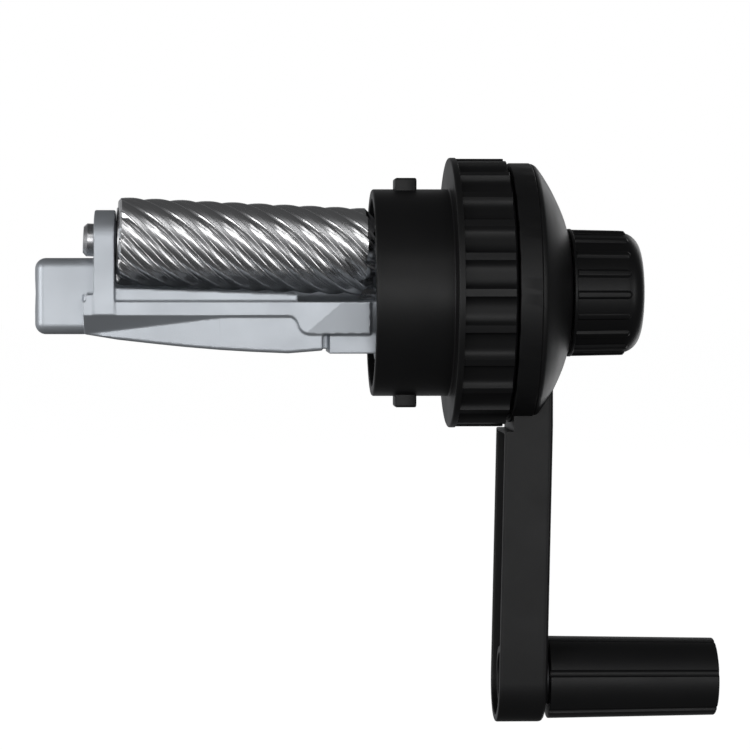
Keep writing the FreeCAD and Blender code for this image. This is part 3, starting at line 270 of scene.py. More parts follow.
# %% Worn edges
worn, given, result = new_group(
    "worn_edges", "ShaderNodeTree",
    [("Vector", VECTOR, None), ("Edge width mm", NUMBER, 0.3), ("Breaks per mm", NUMBER, 0.8)],
    [("Mask", NUMBER)])
width = sums(worn, "MULTIPLY", given["Edge width mm"], MM)
rounded_normal = add(worn, "ShaderNodeBevel", {"Radius": width}, samples=6)
plain_normal = add(worn, "ShaderNodeNewGeometry")
match = add(worn, "ShaderNodeVectorMath",
            {0: rounded_normal.outputs[0], 1: plain_normal.outputs["Normal"]},
            operation="DOT_PRODUCT")
bend = add(worn, "ShaderNodeMapRange",
           {"Value": match.outputs["Value"], "From Min": 0.995, "From Max": 0.86,
            "To Min": 0.0, "To Max": 1.0})
breaks_scale = sums(worn, "MULTIPLY", given["Breaks per mm"], 1 / MM)
breaks = add(worn, "ShaderNodeTexNoise",
             {"Vector": given["Vector"], "Scale": breaks_scale, "Detail": 3.0})
kept = add(worn, "ShaderNodeMapRange",
           {"Value": breaks.outputs["Fac"], "From Min": 0.35, "From Max": 0.65,
            "To Min": 0.25, "To Max": 1.0})
worn.links.new(sums(worn, "MULTIPLY", bend.outputs[0], kept.outputs[0], clamp=True),
               result["Mask"])
print("group", worn.name)

# %% Tool lines
tool_lines, given, result = new_group(
    "tool_lines", "ShaderNodeTree",
    [("Vector", VECTOR, None), ("Turn per metre", NUMBER, 0.0), ("Lines round", NUMBER, 60.0),
     ("Lines along per mm", NUMBER, 0.05)],
    [("Lines", NUMBER)])
part = add(tool_lines, "ShaderNodeSeparateXYZ", {0: given["Vector"]})
around = sums(tool_lines, "ARCTAN2", part.outputs["Z"], part.outputs["Y"])
twist = sums(tool_lines, "MULTIPLY", part.outputs["X"], given["Turn per metre"])
straight = sums(tool_lines, "SUBTRACT", around, twist)
along_scale = sums(tool_lines, "MULTIPLY", given["Lines along per mm"], 1 / MM)
spot = add(tool_lines, "ShaderNodeCombineXYZ", {
    "X": sums(tool_lines, "MULTIPLY", part.outputs["X"], along_scale),
    "Y": sums(tool_lines, "MULTIPLY", sums(tool_lines, "COSINE", straight),
              given["Lines round"]),
    "Z": sums(tool_lines, "MULTIPLY", sums(tool_lines, "SINE", straight),
              given["Lines round"])})
streaks = add(tool_lines, "ShaderNodeTexNoise",
              {"Vector": spot.outputs[0], "Scale": 1.0, "Detail": 3.0, "Roughness": 0.7})
tool_lines.links.new(streaks.outputs["Fac"], result["Lines"])
print("group", tool_lines.name)

# %% [markdown]
# A finish is one principled shader with those groups around it. The moulded plastic is
# almost black and satin, with a spark-eroded grain that breaks up the reflections. The
# casting is a pale zinc alloy, blasted matte. The cutter is ground and bright. The other
# steel is turned. The washer behind the handle is painted near-black, as painted shade for
# the narrow dark gap between the arm and the handle.

# %% Material maker
def placed(tree, group, **values):
    """One of the shared groups inside a material, with its own values."""
    made = tree.nodes.new("ShaderNodeGroup")
    made.node_tree = group
    for name, value in values.items():
        made.inputs[name.replace("_", " ")].default_value = value
    return made


def finish(name, colour, edge_colour, roughness, gloss_spread, grains, grain_depth_mm,
           metallic=0.0, specular=0.5, edge_width=0.25, edge_share=0.5, patch_mm=9.0,
           lines=None, line_depth_mm=0.0, centre=None):
    """A finish: grain and tool lines in the bump, handling in the gloss, worn edges."""
    material = bpy.data.materials.new(name)
    material.use_nodes = True
    tree = material.node_tree
    shader = tree.nodes["Principled BSDF"]
    shader.inputs["Metallic"].default_value = metallic
    shader.inputs["Specular IOR Level"].default_value = specular
    place = add(tree, "ShaderNodeTexCoord").outputs["Object"]
    fine = placed(tree, grain, Grains_per_mm=grains)
    marks = placed(tree, handling, Patch_size_mm=patch_mm)
    edges = placed(tree, worn, Edge_width_mm=edge_width)
    for made in (fine, marks, edges):
        tree.links.new(place, made.inputs["Vector"])
    share = sums(tree, "MULTIPLY", edges.outputs["Mask"], edge_share)
    tint = add(tree, "ShaderNodeMix", {"Factor": share}, data_type="RGBA")
    tint.inputs["A"].default_value = (*colour, 1)
    tint.inputs["B"].default_value = (*edge_colour, 1)
    tree.links.new(tint.outputs["Result"], shader.inputs["Base Color"])
    gloss = sums(tree, "MULTIPLY_ADD", marks.outputs["Gloss change"], gloss_spread, roughness)
    gloss = sums(tree, "MULTIPLY_ADD", fine.outputs["Speckle"], gloss_spread, gloss, clamp=True)
    tree.links.new(gloss, shader.inputs["Roughness"])
    bump = add(tree, "ShaderNodeBump", {"Height": fine.outputs["Height"], "Strength": 1.0,
                                        "Distance": grain_depth_mm * MM})
    if lines:
        streaks = placed(tree, tool_lines, **lines)
        if centre is None:
            tree.links.new(place, streaks.inputs["Vector"])
        else:
            moved = add(tree, "ShaderNodeMapping", {"Vector": place}, vector_type="TEXTURE")
            moved.inputs["Location"].default_value = centre[0]
            moved.inputs["Rotation"].default_value = centre[1]
            tree.links.new(moved.outputs[0], streaks.inputs["Vector"])
        bump = add(tree, "ShaderNodeBump", {"Height": streaks.outputs["Lines"],
                                            "Strength": 1.0, "Distance": line_depth_mm * MM,
                                            "Normal": bump.outputs[0]})
    tree.links.new(bump.outputs[0], shader.inputs["Normal"])
    return material


print("material maker ready")

# %% The cutter's axis
joints = {joint["name"]: joint for joint in frame["joints"]}
CUTTER_POINT = Vector(joints["cutter_spin"]["pos_m"])
CUTTER_DIRECTION = Vector(joints["cutter_spin"]["axis"])
CUTTER_TURN = Vector((1, 0, 0)).rotation_difference(CUTTER_DIRECTION)
CUTTER_PLACE = Matrix.Translation(CUTTER_POINT) @ CUTTER_TURN.to_matrix().to_4x4()
CUTTER_LEAD = 38.0 * MM
on_cutter = (CUTTER_POINT, CUTTER_TURN.to_euler())
print("cutter axis from", [round(v / MM, 2) for v in CUTTER_POINT], "mm")

# %% The finishes
black = finish("black_moulding", (0.008, 0.008, 0.0083), (0.022, 0.022, 0.023), 0.40, 0.045,
               grains=5.0, grain_depth_mm=0.006, specular=0.26, edge_share=0.5)
knob_black = finish("knob_moulding", (0.007, 0.007, 0.0073), (0.020, 0.020, 0.021), 0.36, 0.04,
                    grains=6.0, grain_depth_mm=0.004, specular=0.22, patch_mm=5.0)
grip_black = finish("grip_moulding", (0.008, 0.008, 0.0083), (0.020, 0.020, 0.021), 0.38, 0.05,
                    grains=5.0, grain_depth_mm=0.005, specular=0.25, patch_mm=6.0)
nylon = finish("gear_nylon", (0.045, 0.045, 0.048), (0.08, 0.08, 0.085), 0.45, 0.05,
               grains=4.0, grain_depth_mm=0.004)
casting = finish("die_cast", (0.50, 0.53, 0.565), (0.66, 0.68, 0.70), 0.42, 0.05,
                 grains=6.0, grain_depth_mm=0.005, metallic=0.70, specular=0.4, edge_width=0.2,
                 edge_share=0.4, patch_mm=12.0)
ground = finish("cutter_steel", (0.72, 0.72, 0.725), (0.95, 0.95, 0.95), 0.20, 0.03,
                grains=8.0, grain_depth_mm=0.001, metallic=1.0, edge_width=0.15,
                edge_share=0.7, patch_mm=4.0, line_depth_mm=0.006, centre=on_cutter,
                lines={"Turn_per_metre": 2 * math.pi / CUTTER_LEAD, "Lines_round": 26.0,
                       "Lines_along_per_mm": 0.06})
turned_steel = finish("steel", (0.55, 0.55, 0.56), (0.75, 0.75, 0.75), 0.26, 0.05,
                      grains=8.0, grain_depth_mm=0.001, metallic=1.0, edge_width=0.12,
                      line_depth_mm=0.006, lines={"Lines_round": 1.0,
                                                  "Lines_along_per_mm": 12.0})
bronze = finish("bronze", (0.50, 0.33, 0.17), (0.66, 0.47, 0.27), 0.38, 0.06,
                grains=9.0, grain_depth_mm=0.004, metallic=1.0)
finishes = {"black_moulding": black, "knob_moulding": knob_black, "grip_moulding": grip_black,
            "gear_nylon": nylon, "die_cast": casting, "cutter_steel": ground,
            "steel": turned_steel, "bronze": bronze}
for part_row in frame["record"]["subparts"]:
    node_object = frame["nodes"][part_row["node"]]
    node_object.data.materials.clear()
    node_object.data.materials.append(finishes[part_row["material_slot"]])
# The washer's near-black colour is painted shade: it stands for the dark gap between the arm and the handle, not
# for the steel's own colour.
washer_painted_shade = finish("burnished_steel", (0.07, 0.07, 0.073), (0.16, 0.16, 0.16), 0.42, 0.05,
                   grains=8.0, grain_depth_mm=0.001, metallic=0.9, edge_width=0.12)
frame["nodes"]["grip_washer"].data.materials[0] = washer_painted_shade
print("finishes", sorted(finishes))

# %% [markdown]
# ## Ways of making shapes
#
# Almost every piece is turned about the main axis or is a flat outline with soft edges.
# Both are a row of closed loops with a skin between neighbours, so one helper makes them.
# Sections are lists of corners, each with the radius of its rounding, in millimetres. A
# short extra step beside each rounding keeps the shading of the flats even.

# %% Rounded sections
def rounded(corners, steps=5):
    """A closed section of (x, r, rounding) corners as points, with arcs at the corners."""
    points = []
    count = len(corners)
    for i, (x, r, size) in enumerate(corners):
        here = Vector((x, r))
        if size <= 0:
            points.append((x, r))
            continue
        before = Vector(corners[i - 1][:2]) - here
        after = Vector(corners[(i + 1) % count][:2]) - here
        a, b = before.normalized(), after.normalized()
        angle = a.angle(b)
        reach = size / math.tan(angle / 2)
        start, end = here + a * reach, here + b * reach
        middle = here + (a + b).normalized() * (size / math.sin(angle / 2))
        hold = min(0.25 * size, 0.1)
        points.append(tuple(start + a * hold))
        turn = (start - middle).angle_signed(end - middle)
        for k in range(steps + 1):
            arm = (start - middle).copy()
            arm.rotate(Matrix.Rotation(-turn * k / steps, 2))
            points.append(tuple(middle + arm))
        points.append(tuple(end + b * hold))
    return points


print("rounded sections ready")

# %% Finished pieces
SHARP_ANGLE = 32.0


def new_piece(name, shape, material, sharp=SHARP_ANGLE):
    """Turn a bmesh into a finished object: doubles merged, faces outward, edges shaded."""
    bmesh.ops.remove_doubles(shape, verts=shape.verts, dist=1e-7)
    bmesh.ops.dissolve_degenerate(shape, edges=shape.edges, dist=1e-7)
    bmesh.ops.recalc_face_normals(shape, faces=shape.faces)
    mesh = bpy.data.meshes.new(name)
    shape.to_mesh(mesh)
    shape.free()
    mesh.materials.append(material)
    piece = bpy.data.objects.new(name, mesh)
    bpy.context.scene.collection.objects.link(piece)
    shade(piece, sharp)
    return piece


def shade(piece, sharp=SHARP_ANGLE):
    """Smooth shading, with hard edges where faces meet at more than an angle in degrees."""
    mesh = piece.data
    mesh.polygons.foreach_set("use_smooth", [True] * len(mesh.polygons))
    mesh.set_sharp_from_angle(angle=math.radians(sharp))


print("hard edges from", SHARP_ANGLE, "degrees")

# %% Skins over loops
def skin(shape, loops, wrap=False, caps=True):
    """Faces between neighbouring loops of points in millimetres; ends are closed."""
    rings = [[shape.verts.new(Vector(p) * MM) for p in loop] for loop in loops]
    pairs = list(zip(rings, rings[1:])) + ([(rings[-1], rings[0])] if wrap else [])
    for one, two in pairs:
        for k in range(len(one)):
            shape.faces.new((one[k - 1], one[k], two[k], two[k - 1]))
    if caps and not wrap:
        shape.faces.new(rings[0])
        shape.faces.new(rings[-1])


def ring_loop(x, r, steps, z):
    """A circle round the main axis, or round one at another height."""
    return [(x, r * math.cos(2 * math.pi * k / steps), z + r * math.sin(2 * math.pi * k / steps))
            for k in range(steps)]


def turned(name, section, material, steps=128, z=0.0):
    """A body of revolution about the main axis, from a closed section of points."""
    shape = bmesh.new()
    skin(shape, [ring_loop(x, r, steps, z) for x, r in section], wrap=True)
    return new_piece(name, shape, material)


def through(points, per_span=6):
    """A smooth curve through points (Catmull-Rom), for the dome's outline."""
    ends = [points[0]] + list(points) + [points[-1]]
    curve = []
    for p0, p1, p2, p3 in zip(ends, ends[1:], ends[2:], ends[3:]):
        for k in range(per_span):
            t = k / per_span
            curve.append(tuple(0.5 * (2 * b + (c - a) * t + (2 * a - 5 * b + 4 * c - d) * t * t
                                      + (3 * b - a - 3 * c + d) * t ** 3)
                               for a, b, c, d in zip(p0, p1, p2, p3)))
    return curve + [tuple(points[-1])]


def joined(name, pieces):
    """Put several objects' meshes into the first one, which keeps its materials."""
    shape = bmesh.new()
    for piece in pieces:
        shape.from_mesh(piece.data)
    mesh = bpy.data.meshes.new(name)
    shape.to_mesh(mesh)
    shape.free()
    mesh.materials.append(pieces[0].data.materials[0])
    for piece in pieces:
        bpy.data.objects.remove(piece)
    whole = bpy.data.objects.new(name, mesh)
    bpy.context.scene.collection.objects.link(whole)
    shade(whole)
    return whole


print("shape helpers ready")

# %% [markdown]
# ## Rules that repeat
#
# The grip ring's scallops, the handle's grooves and the cutter's flutes all follow a rule
# in the angle round an axis, and the ribs are one rib repeated. Each rule is a Geometry
# Nodes tree with its sizes as inputs, so a count or a depth is changed in one place. The
# trees are baked to plain meshes, because that is what the finished model carries.

# %% Baking a tree
GEOMETRY, WHOLE, FINISH = "NodeSocketGeometry", "NodeSocketInt", "NodeSocketMaterial"


def bake(piece, recipe, **values):
    """Run a geometry tree on a piece and keep the result as its plain mesh."""
    modifier = piece.modifiers.new("recipe", "NODES")
    modifier.node_group = recipe
    for item in recipe.interface.items_tree:
        if item.item_type == "SOCKET" and item.in_out == "INPUT":
            label = item.name.replace(" ", "_")
            if label in values:
                modifier[item.identifier] = values[label]
            elif label == "Finish":
                modifier[item.identifier] = piece.data.materials[0]
    bpy.context.view_layer.update()
    ready = piece.evaluated_get(bpy.context.evaluated_depsgraph_get())
    mesh = bpy.data.meshes.new_from_object(ready)
    piece.modifiers.clear()
    piece.data = mesh
    shade(piece)
    print(piece.name, "faces", len(mesh.polygons))
    return piece


def geometry_ends(tree, geometry, given, result):
    """Every tree ends in Realize Instances and Set Material."""
    solid = add(tree, "GeometryNodeRealizeInstances", {"Geometry": geometry})
    dressed = add(tree, "GeometryNodeSetMaterial",
                  {"Geometry": solid.outputs[0], "Material": given["Finish"]})
    tree.links.new(dressed.outputs[0], result["Geometry"])


def polar(tree):
    """Position as X, angle round X and radius."""
    place = add(tree, "GeometryNodeInputPosition")
    part = add(tree, "ShaderNodeSeparateXYZ", {0: place.outputs[0]})
    x, y, z = part.outputs
    angle = sums(tree, "ARCTAN2", z, y)
    radius = sums(tree, "SQRT", sums(tree, "ADD", sums(tree, "MULTIPLY", y, y),
                                     sums(tree, "MULTIPLY", z, z)))
    return x, angle, radius


def set_polar(tree, geometry, x, angle, radius):
    """Put every point at an X, an angle and a radius."""
    place = add(tree, "ShaderNodeCombineXYZ", {
        "X": x,
        "Y": sums(tree, "MULTIPLY", radius, sums(tree, "COSINE", angle)),
        "Z": sums(tree, "MULTIPLY", radius, sums(tree, "SINE", angle))})
    return add(tree, "GeometryNodeSetPosition",
               {"Geometry": geometry, "Position": place.outputs[0]}).outputs[0]


print("bake ready")

# %% Scallops and grooves
scallops, given, result = new_group(
    "scallops", "GeometryNodeTree",
    [("Geometry", GEOMETRY, None), ("Finish", FINISH, None), ("Count", NUMBER, 24.0),
     ("Depth", NUMBER, 0.0007), ("Width", NUMBER, 0.004), ("Surface radius", NUMBER, 0.02),
     ("Taper", NUMBER, 0.0), ("Start", NUMBER, 0.0), ("First angle", NUMBER, 0.0),
     ("Squareness", NUMBER, 3.0)],
    [("Geometry", GEOMETRY)])
x, angle, radius = polar(scallops)
along = sums(scallops, "SUBTRACT", x, given["Start"])
surface = sums(scallops, "SUBTRACT", given["Surface radius"],
               sums(scallops, "MULTIPLY", along, given["Taper"]))
share = sums(scallops, "DIVIDE", sums(scallops, "SUBTRACT", angle, given["First angle"]),
             2 * math.pi)
share = sums(scallops, "FRACT", sums(scallops, "ADD", sums(
    scallops, "MULTIPLY", share, given["Count"]), 100.5))
pitch = sums(scallops, "DIVIDE", sums(scallops, "MULTIPLY", surface, 2 * math.pi),
             given["Count"])
aside = sums(scallops, "MULTIPLY", sums(scallops, "SUBTRACT", share, 0.5), pitch)
across = sums(scallops, "DIVIDE", aside, sums(scallops, "MULTIPLY", given["Width"], 0.5))
steep = sums(scallops, "POWER", sums(scallops, "ABSOLUTE", across), given["Squareness"])
depth = sums(scallops, "MULTIPLY", given["Depth"], sums(
    scallops, "SQRT", sums(scallops, "MAXIMUM", 0.0, sums(scallops, "SUBTRACT", 1.0, steep))))
cut = sums(scallops, "MINIMUM", radius, sums(scallops, "SUBTRACT", surface, depth))
inside = sums(scallops, "GREATER_THAN", x, given["Start"])
new_radius = sums(scallops, "ADD", sums(scallops, "MULTIPLY", cut, inside), sums(
    scallops, "MULTIPLY", radius, sums(scallops, "SUBTRACT", 1.0, inside)))
geometry_ends(scallops, set_polar(scallops, given["Geometry"], x, angle, new_radius),
              given, result)
print("tree", scallops.name)

# %% One piece repeated
repeat, given, result = new_group(
    "repeat", "GeometryNodeTree",
    [("Geometry", GEOMETRY, None), ("Finish", FINISH, None), ("Count", WHOLE, 18),
     ("First angle", NUMBER, 0.0), ("Turn", NUMBER, 0.0), ("Step", VECTOR, None)],
    [("Geometry", GEOMETRY)])
number = add(repeat, "GeometryNodeInputIndex").outputs[0]
offset = add(repeat, "ShaderNodeVectorMath", {0: given["Step"]}, operation="SCALE")
repeat.links.new(number, offset.inputs["Scale"])
spots = add(repeat, "GeometryNodePoints", {"Count": given["Count"],
                                           "Position": offset.outputs[0]})
spin = add(repeat, "ShaderNodeCombineXYZ", {"X": sums(
    repeat, "MULTIPLY_ADD", number, given["Turn"], given["First angle"])})
copies = add(repeat, "GeometryNodeInstanceOnPoints",
             {"Points": spots.outputs[0], "Instance": given["Geometry"],
              "Rotation": spin.outputs[0]})
geometry_ends(repeat, copies.outputs[0], given, result)
print("tree", repeat.name)

# %% Helical flutes
flutes, given, result = new_group(
    "flutes", "GeometryNodeTree",
    [("Geometry", GEOMETRY, None), ("Finish", FINISH, None), ("Count", NUMBER, 12.0),
     ("Depth", NUMBER, 0.0006), ("Lead", NUMBER, 0.034), ("Core radius", NUMBER, 0.003),
     ("Full radius", NUMBER, 0.005)],
    [("Geometry", GEOMETRY)])
x, angle, radius = polar(flutes)
share = sums(flutes, "FRACT", sums(flutes, "ADD", sums(flutes, "MULTIPLY", sums(
    flutes, "DIVIDE", angle, 2 * math.pi), given["Count"]), 100.0))
tooth = add(flutes, "ShaderNodeFloatCurve", {"Value": share})
TOOTH = ((0.0, 0.0), (0.10, 0.02), (0.22, 0.12), (0.34, 0.28), (0.37, 0.22), (0.48, 0.42),
         (0.57, 0.60), (0.60, 0.55), (0.70, 0.82), (0.78, 1.0), (0.83, 0.98), (0.90, 0.50),
         (0.95, 0.06), (1.0, 0.0))
curve = tooth.mapping.curves[0]
curve.points[0].location, curve.points[1].location = TOOTH[0], TOOTH[-1]
for spot in TOOTH[1:-1]:
    curve.points.new(*spot)
for spot in curve.points:
    spot.handle_type = "VECTOR"
tooth.mapping.update()
reach = add(flutes, "ShaderNodeMapRange",
            {"Value": radius, "From Min": given["Core radius"],
             "From Max": given["Full radius"], "To Min": 0.0, "To Max": 1.0})
drop = sums(flutes, "MULTIPLY", sums(flutes, "MULTIPLY", tooth.outputs[0], given["Depth"]),
            reach.outputs[0])
twisted = sums(flutes, "ADD", angle, sums(
    flutes, "DIVIDE", sums(flutes, "MULTIPLY", x, 2 * math.pi), given["Lead"]))
geometry_ends(flutes, set_polar(flutes, given["Geometry"], x, twisted, sums(
    flutes, "SUBTRACT", radius, drop)), given, result)
print("tree", flutes.name)

# %% [markdown]
# ## Barrel and grip ring
#
# One black moulding. The barrel slips into the case, two small lugs on it turn behind the
# case's ledges, and the ring is what fingers hold. The section is turned about the axis
# and the scallop rule then cuts the ring, which leaves the flat-topped ribs standing. The
# scallops could be cut with booleans, but moving the points of one turned mesh leaves
# cleaner faces.

# %% Barrel and ring
barrel_low, barrel_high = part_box("barrel_housing")
BARREL_FRONT = barrel_low.x / MM
RING_END = barrel_high.x / MM
BAND_R = barrel_high.y / MM
BARREL_R, GEAR_SEAT_R, REAR_BORE_R = 15.40, 13.98, 12.60
PLAIN_BAND, RIB_DROP, RING_CHAMFER = 0.94, 0.15, 0.38
RING_R = BAND_R - RIB_DROP
PLATE_SEAT_R, SEAT_WALL, GEAR_STEP = 17.6, 2.4, -6.6
RING_RIBS, RIB_TOP, SCALLOP_DEPTH = 24, 1.3, 0.95
STEPS_PER_RIB = 20

section = rounded([
    (BARREL_FRONT, GEAR_SEAT_R, 0.2), (BARREL_FRONT, BARREL_R, 0.35), (0, BARREL_R, 0.2),
    (0, BAND_R, 0.3), (PLAIN_BAND, BAND_R, 0.05), (PLAIN_BAND + 0.02, RING_R, 0),
    (RING_END - RING_CHAMFER, RING_R, 0.12), (RING_END - RING_CHAMFER, RING_R - 0.9, 0.1),
    (RING_END, RING_R - 1.3, 0.1),
    (RING_END, PLATE_SEAT_R, 0.15), (SEAT_WALL, PLATE_SEAT_R, 0), (SEAT_WALL, REAR_BORE_R, 0),
    (GEAR_STEP, REAR_BORE_R, 0), (GEAR_STEP, GEAR_SEAT_R, 0)])
barrel = turned("barrel", section, black, steps=RING_RIBS * STEPS_PER_RIB)
rib_pitch = 2 * math.pi * RING_R / RING_RIBS
bake(barrel, scallops, Count=float(RING_RIBS), Depth=SCALLOP_DEPTH * MM,
     Width=(rib_pitch - RIB_TOP) * MM, Surface_radius=RING_R * MM,
     Start=(PLAIN_BAND + 0.01) * MM, First_angle=math.pi / RING_RIBS)

# %% Lugs
SLAB_ROUND = 0.3


def slab_loops(half_y, half_z, z, layers):
    """Loops of a rounded rectangle, one for each (x, inset) layer, in the X direction."""
    loops = []
    for x, inset in layers:
        y, h = half_y - inset, half_z - inset
        points = rounded([(-y, -h, SLAB_ROUND), (y, -h, SLAB_ROUND), (y, h, SLAB_ROUND),
                          (-y, h, SLAB_ROUND)], steps=4)
        loops.append([(x, across, z + up) for across, up in points])
    return loops


LUG_X0, LUG_X1, LUG_FOOT, LUG_TOP, LUG_HALF = -8.0, -4.8, 14.7, 17.0, 2.8
lug_shape = bmesh.new()
skin(lug_shape, slab_loops(LUG_HALF, (LUG_TOP - LUG_FOOT) / 2, (LUG_TOP + LUG_FOOT) / 2,
                           [(LUG_X0, 0.25), (LUG_X0 + 0.07, 0.08), (LUG_X0 + 0.25, 0),
                            (LUG_X1 - 0.25, 0), (LUG_X1 - 0.07, 0.08), (LUG_X1, 0.25)]))
lugs = bake(new_piece("lugs", lug_shape, black), repeat, Count=2, Turn=math.pi)
barrel = joined("barrel_with_ring", [barrel, lugs])
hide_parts("barrel_housing")
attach(barrel, "housing")

# %% [markdown]
# ## Cutter
#
# The cutter is a hardened steel rod with ten teeth that wind round it like a coarse
# screw. Each tooth has a narrow land, a steep cutting face and a slow rising back with
# finer ground steps. Ten teeth swept along a helix would have to be joined, so the rod is
# turned first instead, and the flute rule then twists it and sinks the gullets. The flutes
# so run out through both end faces, as they do on the real one. A shallow recess in the
# front face leaves room for the washer.

# %% Cutter body
CUTTER_R, CUTTER_START, CUTTER_END = 6.45, 0.22, 37.89
FRONT_CHAMFER, REAR_CHAMFER = 0.35, 1.5
WASHER_ROOM_R, WASHER_ROOM = 5.15, 0.70
CUTTER_BORE_R = 2.2
FLUTES, FLUTE_STEPS, ROWS = 10, 50, 64
FLUTE_DEPTH, FLUTE_FROM_R, FLUTE_FULL_R = 0.95, CUTTER_BORE_R + 0.5, CUTTER_R - 1.6
section = [(WASHER_ROOM, CUTTER_BORE_R), (WASHER_ROOM, WASHER_ROOM_R),
           (CUTTER_START, WASHER_ROOM_R), (CUTTER_START, CUTTER_R - FRONT_CHAMFER - 0.1),
           (CUTTER_START + 0.05, CUTTER_R - FRONT_CHAMFER)]
first, last = CUTTER_START + FRONT_CHAMFER, CUTTER_END - REAR_CHAMFER
section += [(first + (last - first) * k / ROWS, CUTTER_R) for k in range(ROWS + 1)]
section += [(CUTTER_END - REAR_CHAMFER * (1 - k / 5), CUTTER_R - REAR_CHAMFER * k / 5)
            for k in range(1, 6)]
section += [(CUTTER_END, CUTTER_R - REAR_CHAMFER - 1), (CUTTER_END, CUTTER_BORE_R)]
cutter = turned("cutter_body", section, ground, steps=FLUTES * FLUTE_STEPS)
bake(cutter, flutes, Count=float(FLUTES), Depth=FLUTE_DEPTH * MM, Lead=CUTTER_LEAD,
     Core_radius=FLUTE_FROM_R * MM, Full_radius=FLUTE_FULL_R * MM)
cutter.data.transform(CUTTER_PLACE)
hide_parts("helical_cutter")
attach(cutter, "cutter")

# %% [markdown]
# ## Carrier
#
# The carrier is one die casting with many flats, a curved trough and a bearing post. Its
# planned shape is right but for a thin lip under the cutter, and a real casting has no
# sharp edge. The lip is added as a bar. A fine remesh then makes the faces even, and a
# little smoothing takes the sharpness off every edge, which is easier and safer than
# bevelling a body with so many odd corners.

# %% Softened casting
FLAT_WITHIN = 1.5


def softened(name, node, material, voxel_mm, passes, extra):
    """A node's copy and one more piece, remeshed evenly and smoothed at the edges.

    Faces that lie flat within a degree or two are then joined again, and the shading
    follows the large ones."""
    shape = bmesh.new()
    shape.from_mesh(frame["nodes"][node].data)
    bmesh.ops.remove_doubles(shape, verts=shape.verts, dist=1e-7)
    shape.from_mesh(extra.data)
    bpy.data.objects.remove(extra)
    piece = new_piece(name, shape, material)
    remesh = piece.modifiers.new("even", "REMESH")
    remesh.mode = "VOXEL"
    remesh.voxel_size = voxel_mm * MM
    remesh.use_smooth_shade = True
    smooth = piece.modifiers.new("soft", "SMOOTH")
    smooth.factor = 0.5
    smooth.iterations = passes
    thin = piece.modifiers.new("flats", "DECIMATE")
    thin.decimate_type = "DISSOLVE"
    thin.angle_limit = math.radians(FLAT_WITHIN)
    even = piece.modifiers.new("even_shading", "WEIGHTED_NORMAL")
    even.mode = "FACE_AREA"
    even.weight = 90
    bpy.context.view_layer.update()
    ready = piece.evaluated_get(bpy.context.evaluated_depsgraph_get())
    mesh = bpy.data.meshes.new_from_object(ready)
    piece.modifiers.clear()
    piece.data = mesh
    mesh.materials.clear()
    mesh.materials.append(material)
    shade(piece, 180)
    print(name, "faces", len(mesh.polygons))
    return piece


print("faces within", FLAT_WITHIN, "degrees are joined")

# %% Carrier and its lip
LIP_X, LIP_Y, LIP_LOW, LIP_TOP = (-49.3, -22.6), (-10.3, -9.0), -1.08, (0.72, -0.22)
lip_shape = bmesh.new()
skin(lip_shape, [[(LIP_X[0], y, LIP_LOW), (LIP_X[1], y, LIP_LOW), (LIP_X[1], y, LIP_TOP[1]),
                  (LIP_X[0], y, LIP_TOP[0])] for y in LIP_Y])
lip = new_piece("lip", lip_shape, casting)
carrier = softened("carrier", "cutter_carrier", casting, voxel_mm=0.17, passes=2, extra=lip)
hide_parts("cutter_carrier")
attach(carrier, "rotor")

# %% [markdown]
# ## Crank
#
# The crank is one moulding: a domed disc that closes the grip ring, and a hollow arm that
# hangs from it. The disc and dome are turned. The arm is a tray, so it is a skin over one
# outline that shrinks inwards as it goes round the edges, across the rim and down into the
# channel. That gives every edge its own rounding, which a boolean would not. Three ribs
# cross the channel, and a boss at its lower end takes the handle's bolt and nut.

# %% Dome
DOME_X0, DISC_R = 8.85, 19.30
DOME_EDGE = [(12.28, 19.18), (12.62, 19.02), (12.96, 18.70), (13.79, 17.55), (14.9, 15.75),
             (16.0, 13.60), (16.82, 11.72), (17.45, 9.80)]
DISH_FLOOR, NUT_ROOM_R, HUB_FACE, STUD_R, HUB_START, HUB_R = 16.95, 5.50, 13.25, 3.52, 7.1, 6.0
section = [(DOME_X0, 17.5), (DOME_X0, DISC_R - 0.3), (DOME_X0, DISC_R - 0.2),
           (DOME_X0 + 0.06, DISC_R - 0.06), (DOME_X0 + 0.2, DISC_R), (DOME_X0 + 0.3, DISC_R)]
section += [(11.92, DISC_R), (12.0, DISC_R - 0.05), (12.04, DISC_R - 0.16), (12.10, DISC_R - 0.22)]
section += through(DOME_EDGE, per_span=5)
section += [(17.53, 9.60), (17.55, 9.50), (17.50, 9.40), (17.30, 9.29), (DISH_FLOOR + 0.1, 9.29),
            (DISH_FLOOR, 9.2), (DISH_FLOOR, NUT_ROOM_R), (HUB_FACE, NUT_ROOM_R),
            (HUB_FACE, STUD_R), (HUB_START, STUD_R), (HUB_START, HUB_R), (12.15, HUB_R),
            (12.15, 9.3), (13.2, 11.2), (11.6, 16.4), (11.2, 17.5)]
dome = turned("dome", section, black, steps=160)
print("dome section", len(section), "points")

# %% Arm
ARM_HALF, ARM_DEPTH, CRANK_Z = 6.6, 7.1, -57.5
ARM_X0, LEAN_FROM, LEAN = 8.0, -20.1, math.tan(math.radians(1.22))
TOP_INSIDE, TOP_OUTSIDE, TOP_CHANNEL = -12.0, -BAND_R - 0.3, -BAND_R - 0.75
ARM_ROUND, RIM, WEB = 0.7, 1.1, 2.0


def arm_x(across, z):
    """X at a distance across the arm from its open side, on the leaning arm."""
    return ARM_X0 + across + LEAN * min(0.0, z - LEAN_FROM)


def arm_loop(inset, across, top):
    """The arm's outline: straight sides, a round lower end, and a square top."""
    half = ARM_HALF - inset
    flat = [(half, top + (CRANK_Z - top) * k / 6) for k in range(7)]
    end = [(half * math.cos(math.pi * k / 24), CRANK_Z - half * math.sin(math.pi * k / 24))
           for k in range(1, 24)]
    points = flat + end + [(-y, z) for y, z in reversed(flat)]
    return [(arm_x(across, z), y, z) for y, z in points]


